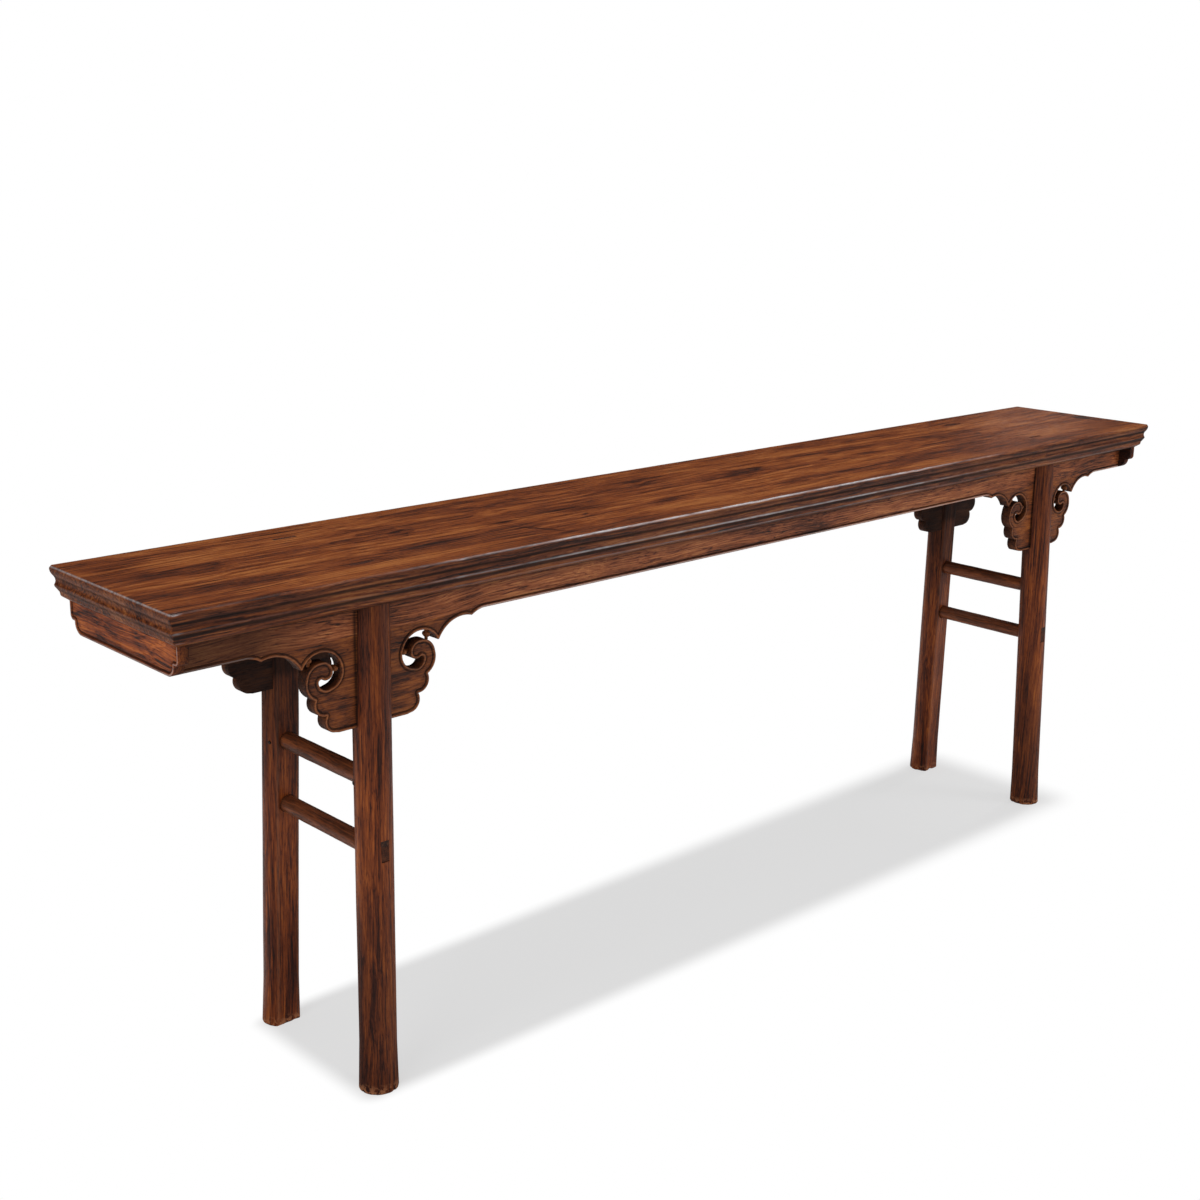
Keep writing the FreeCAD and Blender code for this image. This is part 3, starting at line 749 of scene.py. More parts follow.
def rod_shell(start: Vector, end: Vector, radius: float, count: int = 32) -> Shell:
    """A closed straight rod between two points.

    Args:
        start: the middle of one end.
        end: the middle of the other.
        radius: its radius.
        count: how many sides it has.

    Returns:
        The rod.
    """
    side = (end - start).orthogonal().normalized()
    other = (end - start).normalized().cross(side)
    turns = [math.tau * i / count for i in range(count)]
    spokes = [side * radius * math.cos(turn) + other * radius * math.sin(turn) for turn in turns]
    points = np.array([tuple(centre + spoke) for centre in (start, end) for spoke in spokes])
    caps = [tuple(reversed(range(count))), tuple(range(count, 2 * count))]
    return Shell(points, between_rings(count) + caps)


def joined(shells: list[Shell]) -> Shell:
    """Put several shells into one.

    Args:
        shells: the shells, in their order.

    Returns:
        One shell with all their points and faces.
    """
    faces, offset = [], 0
    for shell in shells:
        faces += [tuple(i + offset for i in face) for face in shell.faces]
        offset += len(shell.points)
    points, wear, grime = (
        np.concatenate([getattr(shell, part) for shell in shells]) for part in ("points", "wear", "grime")
    )
    return Shell(points, faces, wear, grime)


def take_result(piece: Object) -> None:
    """Put a piece's evaluated mesh in place of its own and drop its modifiers."""
    graph = bpy.context.evaluated_depsgraph_get()
    result = bpy.data.meshes.new_from_object(piece.evaluated_get(graph))
    piece.modifiers.clear()
    piece.data = result


def cut_away(piece: Object, cutters: list[Shell]) -> None:
    """Cut joints out of a piece, and leave it a plain mesh.

    Args:
        piece: the piece to cut.
        cutters: closed shells to take away, clear of each other.
    """
    shell = joined(cutters)
    mesh = bpy.data.meshes.new("joint_cutter")
    mesh.from_pydata(shell.points.tolist(), [], shell.faces)
    mesh.materials.append(piece.data.materials[0])
    tool = new_object("joint_cutter", mesh)
    modifier = piece.modifiers.new("joints", "BOOLEAN")
    modifier.object = tool
    modifier.operation = "DIFFERENCE"
    modifier.solver = "EXACT"
    take_result(piece)
    bpy.data.objects.remove(tool)


def into_shell(piece: Object) -> Shell:
    """Take a piece apart into a clean shell, and remove it from the scene.

    Args:
        piece: an object with a plain mesh.

    Returns:
        Its points and faces.
    """
    mesh = piece.data
    places = np.empty(len(mesh.vertices) * 3)
    mesh.vertices.foreach_get("co", places)
    faces = [tuple(polygon.vertices) for polygon in mesh.polygons]
    bpy.data.objects.remove(piece)
    return Shell(places.reshape(-1, 3), faces)


@dataclass
class TopBoard:
    """The plank: one thick board with a stepped moulding worked round its four edges."""

    name: str = "plank"
    edge_inset: float = 20 * MM
    thumb_radius: float = 7.7 * MM
    lip_radius: float = 19.5 * MM
    cove_radius: float = 13.2 * MM
    corner_radius: float = 2.2 * MM
    joint_gap: float = 0.3 * MM
    # the moulding's knots from the top face down: shares of the edge's inset and of the thickness
    moulding_shares: tuple = (
        (0.12, 0.0),
        (0.0, 0.09),
        (0.22, 0.31),
        (0.18, 0.57),
        (0.49, 0.76),
        (0.53, 0.87),
        (1.0, 1.0),
    )
    profile_step: float = 1.1 * MM
    # rows on the flat faces, measured inwards: on the top from the edge, below from the moulding
    top_rows: tuple = (14 * MM, 6 * MM, 4 * MM)
    under_rows: tuple = (1 * MM, 6 * MM)
    step: float = 6 * MM
    # rows close to a corner, measured from it, and where the even ones start
    corner_rows: tuple = (0.0, 0.6 * MM, 1.3 * MM, 2.2 * MM, 3.5 * MM, 5.0 * MM)
    corner_clear: float = 8 * MM
    # what hands rub, with a painted highlight on the arris and the lip, and where dirt gathers with
    # painted shade under the lips: a place and a width as shares of the thickness, and an amount
    rubbed_and_glint_shares: tuple = ((0.028, 0.024, 1.0), (0.572, 0.022, 1.0), (0.87, 0.02, 0.25))
    dirty_and_shaded_shares: tuple = ((0.33, 0.05, 1.0), (0.67, 0.065, 1.0), (0.16, 0.07, 0.3))
    arris_glint_shares: tuple = (0.03, 0.022)
    # painted highlight: the lip is painted pale between the second and the third of these places
    glint_span: tuple = (-0.95, -0.35, 0.25, 0.70)
    # nicks in the front edge: distance along it, half length and depth
    nicks: tuple = (
        (-0.795, 0.012, 1.3 * MM),
        (-0.520, 0.005, 0.8 * MM),
        (-0.100, 0.016, 1.4 * MM),
        (0.180, 0.006, 1.0 * MM),
        (0.395, 0.018, 1.7 * MM),
        (0.640, 0.007, 0.9 * MM),
        (-1.292, 0.006, 2.0 * MM),
    )
    low: Vector = field(default_factory=lambda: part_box("top_board")[0])
    high: Vector = field(default_factory=lambda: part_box("top_board")[1])

    @property
    def thickness(self) -> float:
        """The plank's thickness."""
        return self.high.z - self.low.z

    @property
    def half(self) -> Array:
        """Half the plank's length and half its width."""
        return np.array([self.high.x, self.high.y])

    def profile(self) -> Array:
        """Sample the moulding from the top face down to the underside.

        Returns:
            Rows of inset and drop in metres.
        """
        knots = np.array(self.moulding_shares) * (self.edge_inset, self.thickness)
        line = [knots[0]]
        bows = (self.thumb_radius, self.lip_radius, -self.cove_radius)
        for index, (start, end) in enumerate(zip(knots, knots[1:])):
            chord = end - start
            span = np.linalg.norm(chord)
            count = max(2, round(span / self.profile_step))
            shares = np.linspace(0, 1, count + 1)[1:]
            bulge = np.zeros_like(shares)
            if index < len(bows):
                radius = abs(bows[index])
                sag = math.copysign(radius - math.sqrt(radius**2 - (span / 2) ** 2), bows[index])
                bulge = sag * (1 - (2 * shares - 1) ** 2)
            normal = np.array([-chord[1], chord[0]]) / span
            line += [start + chord * share + normal * out for share, out in zip(shares, bulge)]
        line = np.array(line)
        for _ in range(2):
            line[1:-1] = (line[:-2] + 2 * line[1:-1] + line[2:]) / 4
        lead = [(inset, 0.0) for inset in self.top_rows]
        tail = [(self.edge_inset + further, self.thickness) for further in self.under_rows]
        return np.array(lead + [tuple(place) for place in line] + tail)

    def around(self) -> tuple[Array, Array]:
        """Walk once round the plank.

        Returns:
            Unit places on the rectangle, and the distance walked at each.
        """
        close = np.array(self.corner_rows)
        corners = ((-1, -1), (1, -1), (1, 1), (-1, 1))
        units = []
        for number, (start, end) in enumerate(zip(corners, corners[1:] + corners[:1])):
            length = self.half[number % 2] * 2
            middle = np.linspace(self.corner_clear, length - self.corner_clear, round(length / self.step))
            walk = np.concatenate([close, middle, length - close[:0:-1]]) / length
            units += [np.array(start) * (1 - share) + np.array(end) * share for share in walk]
        units = np.array(units)
        places = units * self.half
        steps = np.linalg.norm(np.diff(places, axis=0, prepend=places[:1]), axis=1)
        return units, np.cumsum(steps)

    def shell(self) -> Shell:
        """Sweep the moulding round the plank, with its wear, its painted highlights and shade, and its nicks.

        Returns:
            The closed shell.
        """
        profile = self.profile()
        units, walked = self.around()
        drop = profile[:, 1] / self.thickness
        worn_and_glint = sum(amount * hump(drop, place, width) for place, width, amount in self.rubbed_and_glint_shares)
        worn_and_glint[: len(self.top_rows) + 1] = 0.0
        worn_and_glint = np.clip(worn_and_glint, 0, 1)
        front = units[:, 1] < -0.999
        x = units[:, 0] * self.high.x
        bites = front * sum(depth * hump(x, place, reach, 4) for place, reach, depth in self.nicks)
        points = self._points(profile, units, walked, worn_and_glint, bites)
        rows, columns = len(units), len(profile)
        faces = [
            (i * columns + j, i * columns + j + 1, k * columns + j + 1, k * columns + j)
            for i, k in zip(range(rows), (*range(1, rows), 0))
            for j in range(columns - 1)
        ]
        faces.append(tuple(i * columns for i in range(rows)))
        faces.append(tuple(i * columns + columns - 1 for i in reversed(range(rows))))
        # painted highlight: pale along the lip's middle span and along the arrises of the ends; nicks are
        # worn pale
        glint_and_nick_wear = 0.06 + 0.94 * np.interp(x, self.glint_span, (0, 1, 1, 0))
        glint_and_nick_wear = glint_and_nick_wear * (1 + 0.4 * waves(walked, 12, 0.4)) + 0.3 * bites / MM
        at_end = np.abs(units[:, 0]) > 0.999
        arris = hump(drop, *self.arris_glint_shares)
        arris[: len(self.top_rows) + 1] = 0.0
        wear = np.maximum(np.outer(glint_and_nick_wear, worn_and_glint), 0.5 * np.outer(at_end, arris))
        # dirt in the moulding's hollows, with painted shade under its lips; below the arris the moulding is
        # darker, darkest towards the underside, and the arris is darkened where its painted highlight is weak
        dirt_and_shade = sum(amount * hump(drop, place, width) for place, width, amount in self.dirty_and_shaded_shares)
        dirt_and_shade += np.interp(drop, (0.06, 0.12, 0.93, 1.0), (0.0, 0.2, 0.2, 1.0))
        grime = np.outer(1 - 0.45 * at_end, dirt_and_shade) + 0.3 * np.outer(np.clip(0.7 - glint_and_nick_wear, 0, 1), arris)
        return Shell(points, faces, np.clip(wear, 0, 1).ravel(), np.clip(grime, 0, 1).ravel())

    def _points(
        self, profile: Array, units: Array, walked: Array, worn_and_glint: Array, bites: Array
    ) -> Array:
        """Place the moulding's points, with what hands and knocks have taken off.

        Args:
            profile: rows of inset and drop.
            units: unit places round the plank.
            walked: the distance walked at each.
            worn_and_glint: how rubbed each row of the profile is.
            bites: how deep the nicks are at each place.

        Returns:
            The points, one profile after the other.
        """
        drop = profile[:, 1] / self.thickness
        rub = 0.35 * MM * (1 + waves(walked, 3, 0.11)) + 0.12 * MM * waves(walked, 5, 0.023)
        hand = 0.25 * MM * waves(walked, 8, 0.9)
        inset = profile[:, 0] + np.outer(rub + bites, worn_and_glint**2) + np.outer(hand, drop * (1 - drop))
        sink = np.outer(bites * 0.5 + rub * 0.2, hump(drop, 0.0, 0.09))
        sink = np.maximum(sink, 0.0)
        sink[:, :2] = 0.0
        flat = self.half - np.maximum(inset, 0.0)[:, :, None]
        plan = self._round_corners(units[:, None, :] * flat, flat)
        level = self.high.z - profile[:, 1] - sink
        return np.concatenate([plan, level[:, :, None]], axis=2).reshape(-1, 3)

    def _round_corners(self, plan: Array, flat: Array) -> Array:
        """Take the sharpness off the four mitred corners.

        Args:
            plan: the points' places seen from above.
            flat: the sharp corner that belongs to each point.

        Returns:
            The rounded places.
        """
        radius = self.corner_radius
        core = flat - radius
        over = np.maximum(np.abs(plan) - core, 0.0)
        both = (over > 0).all(axis=2)
        length = np.linalg.norm(over, axis=2)
        scale = np.where(both & (length > radius), radius / np.maximum(length, 1e-9), 1.0)
        return np.where(both[:, :, None], np.sign(plan) * (core + over * scale[:, :, None]), plan)

    def cutters(self, legs: "list[Leg]") -> list[Shell]:
        """The mortises for the legs' tenons and the housings for the battens.

        Args:
            legs: the four legs.

        Returns:
            Closed shells, clear of each other.
        """
        tenons = [tenon.points for leg in legs for tenon in leg.tenons()]
        boxes = [(points.min(0), points.max(0)) for points in tenons]
        boxes += [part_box(name) for name in BATTENS]
        return [box_shell(low, high, self.joint_gap) for low, high in boxes]

    def build(self, material: Material, legs: "list[Leg]") -> None:
        """Make the plank, cut its joints and let it stand for its solid.

        Args:
            material: the plank's finish.
            legs: the four legs, whose tenons stand in it.
        """
        piece = make_piece(self.name, self.shell(), material)
        cut_away(piece, self.cutters(legs))
        hand_in(piece, "top_wood", "top_board")


@dataclass
class Bead:
    """The raised bead that follows every carved edge, with a groove behind it."""

    width: float = 4.2 * MM
    edge_drop: float = 1.0 * MM
    groove: float = 2.4 * MM
    ground: float = 1.4 * MM
    groove_width: float = 1.6 * MM
    # how far the groove's dirt, the haze on the ground and the dirt on the rim spread
    dirt_reach: float = 1.8 * MM
    haze_reach: float = 9 * MM
    rim_reach: float = 0.8 * MM

    def depth(self, away: Array) -> Array:
        """How far the surface lies below the board's face.

        Args:
            away: distances from the carved edge in metres.

        Returns:
            Depths in metres.
        """
        half = self.width / 2
        round_part = np.sqrt(np.clip(1 - ((away - half) / half) ** 2, 0, 1))
        crest = self.edge_drop * (1 - round_part)
        knots = [self.width, self.width + self.groove_width, self.width + 2.6 * self.groove_width]
        behind = np.interp(away, knots, [self.edge_drop, self.groove, self.ground])
        return np.where(away < self.width, crest, behind)

    def wear(self, away: Array) -> Array:
        """How rubbed the bead's crest is; on the frame and end boards its pale colour also paints a
        highlight.
        """
        return hump(away, self.width * 0.45, self.width * 0.21)

    def grime(self, away: Array) -> Array:
        """How dark the groove behind the bead is, and the rim before it.

        Args:
            away: distances from the carved edge in metres.

        Returns:
            Shares of dirt.
        """
        groove = hump(away, self.width + self.groove_width * 0.8, self.dirt_reach)
        haze = 0.3 * hump(away, self.width, self.haze_reach) * (away > self.width)
        return np.maximum(groove, haze) + 0.6 * hump(away, 0.0, self.rim_reach)


def arc_through(start: tuple, via: tuple, end: tuple) -> list[tuple[float, float]]:
    """Points on the arc through three points, without the first one.

    Args:
        start: where the arc starts.
        via: a point on it.
        end: where it ends.

    Returns:
        The points as pairs.
    """
    (ax, ay), (bx, by), (cx, cy) = start, via, end
    area = 2 * (ax * (by - cy) + bx * (cy - ay) + cx * (ay - by))
    a2, b2, c2 = ax * ax + ay * ay, bx * bx + by * by, cx * cx + cy * cy
    x = (a2 * (by - cy) + b2 * (cy - ay) + c2 * (ay - by)) / area
    y = (a2 * (cx - bx) + b2 * (ax - cx) + c2 * (bx - ax)) / area
    radius = math.hypot(ax - x, ay - y)
    first, middle, last = (math.atan2(point[1] - y, point[0] - x) for point in (start, via, end))
    turn = (last - first) % math.tau
    if (middle - first) % math.tau > turn:
        turn -= math.tau
    count = max(2, math.ceil(abs(turn) * radius / ARC_STEP))
    angles = [first + turn * i / count for i in range(1, count + 1)]
    return [(x + radius * math.cos(angle), y + radius * math.sin(angle)) for angle in angles]


def distance_to(line: Array, points: Array) -> Array:
    """Distance from each point to an open line of straight runs.

    Args:
        line: the line's points.
        points: where the distance is wanted.

    Returns:
        One distance for each point.
    """
    best = np.full(len(points), np.inf)
    for start, end in zip(line, line[1:]):
        run = end - start
        share = np.clip(((points - start) @ run) / max(run @ run, 1e-18), 0, 1)
        gap = points - start - share[:, None] * run
        best = np.minimum(best, (gap**2).sum(1))
    return np.sqrt(best)


def is_inside(outline: Array, points: Array) -> Array:
    """Tell which points lie inside a closed outline.

    Args:
        outline: the outline's points.
        points: the points to test.

    Returns:
        True for each point inside.
    """
    inside = np.zeros(len(points), bool)
    for start, end in zip(outline, np.roll(outline, -1, axis=0)):
        crosses = (start[1] > points[:, 1]) != (end[1] > points[:, 1])
        if crosses.any():
            at = (end[0] - start[0]) * (points[:, 1] - start[1]) / (end[1] - start[1]) + start[0]
            inside ^= crosses & (points[:, 0] < at)
    return inside


def leg_seam_shade(past: Array) -> Array:
    """Painted shade where a board runs into a leg, by how far each point lies from the leg's edge."""
    return 0.9 * hump(past, 0.0, 3.0 * MM)


@dataclass
class CarvedBoard:
    """A sawn board whose face carries a bead along its carved edges.

    outline is the whole closed outline, and free_edge the part of it that is carved. Shade is
    painted along leg_edge, where the board runs into a leg.
    """

    outline: Array
    free_edge: Array
    thickness: float
    bead: Bead
    cell: float = 0.9 * MM
    leg_edge: float = -1.0
    # rows of points on the board's edges, as shares of the way from its face to its back
    row_shares: tuple = (0.12, 0.5, 0.88, 1.0)

    def shell(self) -> Shell:
        """Mesh the board on a fine grid that is trimmed along the outline.

        Returns:
            A shell whose first axis runs along the board, second through it from its carved
            face at zero, and third across it.
        """
        # the grid starts a little off a whole cell, so that no grid line runs along a straight edge
        low = self.outline.min(0) - self.cell * 0.503
        high = self.outline.max(0) + self.cell * 1.5
        along, across = (np.arange(low[k], high[k], self.cell) for k in (0, 1))
        grid = np.stack(np.meshgrid(along, across, indexing="ij"), axis=2)
        flat = grid.reshape(-1, 2)
        closed = np.concatenate([self.outline, self.outline[:1]])
        reach = distance_to(closed, flat)
        signed = np.where(is_inside(self.outline, flat), reach, -reach).reshape(grid.shape[:2])
        plan, faces = self._trim(grid, signed)
        away = distance_to(self.free_edge, plan)
        front = np.column_stack([plan[:, 0], self.bead.depth(away), plan[:, 1]])
        return self._thicken(front, faces, away)

    def _trim(self, grid: Array, signed: Array) -> tuple[Array, Faces]:
        """Keep the cells inside the outline, and cut those that it crosses.

        Args:
            grid: the grid's points.
            signed: their distances to the outline, above zero inside it.

        Returns:
            The kept points and faces.
        """
        inside = signed > 0
        index = -np.ones(inside.shape, int)
        index[inside] = np.arange(inside.sum())
        points = [tuple(point) for point in grid[inside]]
        crossings: dict[tuple, int] = {}

        def crossing(kept: tuple[int, int], lost: tuple[int, int]) -> int:
            """Find the point where the outline crosses one edge of a cell.

            Args:
                kept: the edge's end inside the outline.
                lost: its end outside.

            Returns:
                The point's number.
            """
            key = (min(kept, lost), max(kept, lost))
            if key not in crossings:
                share = min(max(signed[kept] / (signed[kept] - signed[lost]), 0.02), 0.98)
                crossings[key] = len(points)
                points.append(tuple(grid[kept] * (1 - share) + grid[lost] * share))
            return crossings[key]

        faces = []
        count = inside[:-1, :-1].astype(int) + inside[1:, :-1] + inside[1:, 1:] + inside[:-1, 1:]
        for i, j in np.argwhere(count > 0):
            cell = [(i, j), (i + 1, j), (i + 1, j + 1), (i, j + 1)]
            ring = []
            for here, after in zip(cell, cell[1:] + cell[:1]):
                if inside[here]:
                    ring.append(int(index[here]))
                if inside[here] != inside[after]:
                    ring.append(crossing(here, after) if inside[here] else crossing(after, here))
            faces.append(tuple(ring))
        return np.array(points), faces

    def _thicken(self, front: Array, faces: Faces, away: Array) -> Shell:
        """Add the board's edges and its plain back.

        Args:
            front: the points of the carved face.
            faces: its faces.
            away: the points' distances from the carved edge.

        Returns:
            The closed shell.
        """
        directed = {(a, b) for face in faces for a, b in zip(face, face[1:] + face[:1])}
        after = {a: b for a, b in directed if (b, a) not in directed}
        start = next(iter(after))
        loop = [start]
        while after[loop[-1]] != start:
            loop.append(after[loop[-1]])
        around = len(loop)
        points, sides = [front], []
        before = loop
        for number, share in enumerate(self.row_shares):
            ring = front[loop]
            ring[:, 1] = ring[:, 1] * (1 - share) + self.thickness * share
            points.append(ring)
            here = list(range(len(front) + number * around, len(front) + (number + 1) * around))
            for k, n in zip(range(around), (*range(1, around), 0)):
                sides.append((before[n], before[k], here[k], here[n]))
            before = here
        sides.append(tuple(before))
        # painted shade where the board runs into the leg
        grime = np.maximum(self.bead.grime(away), leg_seam_shade(front[:, 0] - self.leg_edge))
        # painted shade: the edges get darker towards the back, which is darkest
        edge_and_back_shade = np.repeat(0.62 + 0.36 * np.array(self.row_shares), around)
        wear = np.concatenate([self.bead.wear(away), np.zeros_like(edge_and_back_shade)])
        return Shell(np.concatenate(points), faces + sides, wear, np.concatenate([grime, edge_and_back_shade]))


@dataclass(frozen=True)
class Wing:
    """One of the eight places of a carved wing: at which leg it hangs, and on which side of it."""

    face: Face
    side: Side
    reach: Reach

    @property
    def node(self) -> str:
        """The solid that the wing stands for."""
        return f"spandrel_{self.face.name}_{self.side.name}_{self.reach.name}".lower()

    @property
    def out(self) -> int:
        """Which way the wing points from its root, along X."""
        return self.side.value * self.reach.value

    @property
    def root(self) -> float:
        """Where the wing starts, along X."""
        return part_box(self.node)[(1 - self.out) // 2].x


WINGS = tuple(Wing(face, side, reach) for face in Face for side in Side for reach in Reach)


@dataclass
class Spandrels:
    """The eight carved wings under the aprons, an inner and an outer one at each leg."""

    length: float = 224 * MM
    drop: float = 149 * MM
    leg_edge: float = 31.5 * MM
    bead: Bead = field(default_factory=Bead)
    # the carved edge from the tip to the foot: arcs, each a point on it and its end, as shares of
    # the length and the drop
    start_share: tuple = (1.0, 0.0)
    arc_shares: tuple = (
        ((0.944, 0.014), (0.884, 0.058)),
        ((0.714, 0.064), (0.585, 0.235)),
        ((0.577, 0.244), (0.563, 0.225)),
        ((0.420, 0.100), (0.256, 0.310)),
        ((0.272, 0.425), (0.350, 0.502)),
        ((0.420, 0.488), (0.444, 0.420)),
        ((0.434, 0.390), (0.407, 0.397)),
        ((0.355, 0.397), (0.330, 0.356)),
        ((0.341, 0.258), (0.411, 0.206)),
        ((0.489, 0.231), (0.544, 0.360)),
        ((0.541, 0.490), (0.478, 0.597)),
        ((0.482, 0.700), (0.390, 0.792)),
        ((0.394, 0.915), (0.321, 0.990)),
    )
    foot_share: tuple = (0.29, 1.0)

    def real(self, share: tuple[float, float]) -> tuple[float, float]:
        """Turn shares of the length and the drop into a place."""
        return (share[0] * self.length, share[1] * self.drop)

    def carved_edge(self) -> Array:
        """The carved edge from the tip to the foot.

        Returns:
            Rows of distances from the leg's middle and from the apron's lower edge.
        """
        line = [self.real(self.start_share)]
        here = line[0]
        for via, end in self.arc_shares:
            line += arc_through(here, self.real(via), self.real(end))
            here = self.real(end)
        line += [self.real(self.foot_share), self.real((0.0, 1.0))]
        return np.array(line)

    def board(self, thickness: float) -> CarvedBoard:
        """The wing as a board to be carved.

        Args:
            thickness: the board's thickness.

        Returns:
            The board, with its second axis pointing down.
        """
        edge = self.carved_edge()
        outline = np.concatenate([edge, [(0.0, 0.0)]])
        # the bead runs on past the tip and past the leg's middle, so that it doesn't turn there
        free = np.concatenate([[(self.length * 1.3, 0.0)], edge[:-1], [(-20 * MM, self.drop)]])
        return CarvedBoard(outline, free, thickness, self.bead, leg_edge=self.leg_edge)

    def build(self, material: Material) -> None:
        """Carve one wing, and set a copy under each side of each leg.

        Args:
            material: the wings' finish.
        """
        low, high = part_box("spandrel_front_left_inner")
        shell = self.board(high.y - low.y).shell()
        apron_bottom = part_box("front_apron")[0].z
        for wing in WINGS:
            place = Matrix.Translation((wing.root, wing.face.outer(wing.node), apron_bottom))
            turn = Matrix.Diagonal((wing.out, -wing.face.value, -1, 1))
            piece = make_piece(f"carved_{wing.node}", shell.placed(place @ turn), material)
            hand_in(piece, "carved_wood", wing.node)


@dataclass
class EndBoards:
    """The short boards across the ends of the frame, with a lobed ear at each corner."""

    step_height: float = 20 * MM
    step_inset: float = 13 * MM
    lobe_radius: float = 9 * MM
    corner_radius: float = 19 * MM
    cell: float = 1.2 * MM
    bead: Bead = field(default_factory=lambda: Bead(width=4.5 * MM))

    def outline(self, half: float, top: float) -> Array:
        """The board's outline from its upper left corner, round both ears, to its upper right one.

        Args:
            half: half the board's width.
            top: its height.

        Returns:
            Rows of distances from its middle and from its lower edge.
        """
        step = half - self.step_inset
        right = []
        for x, z, radius, rise in (
            (step, 0.0, self.corner_radius, self.step_height),
            (half, self.step_height, self.lobe_radius, top),
        ):
            bow = radius * (1 - math.sqrt(0.5))
            right.append((x - radius, z))
            right += arc_through(right[-1], (x - bow, z + bow), (x, z + radius))
            right.append((x, rise))
        return np.array([(-x, z) for x, z in reversed(right)] + right)

    def build(self, material: Material) -> None:
        """Carve both end boards.

        Args:
            material: their finish.
        """
        for side in Side:
            node = f"{side.name.lower()}_end_board"
            low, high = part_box(node)
            edge = self.outline(high.y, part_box("top_board")[0].z - low.z)
            board = CarvedBoard(edge, edge, high.x - low.x, self.bead, self.cell)
            rows = ((0, -side.value, 0, side.outer(node)), (1, 0, 0, 0), (0, 0, 1, low.z), (0, 0, 0, 1))
            piece = make_piece(f"beaded_{node}", board.shell().placed(Matrix(rows)), material)
            hand_in(piece, "frame_wood", node)


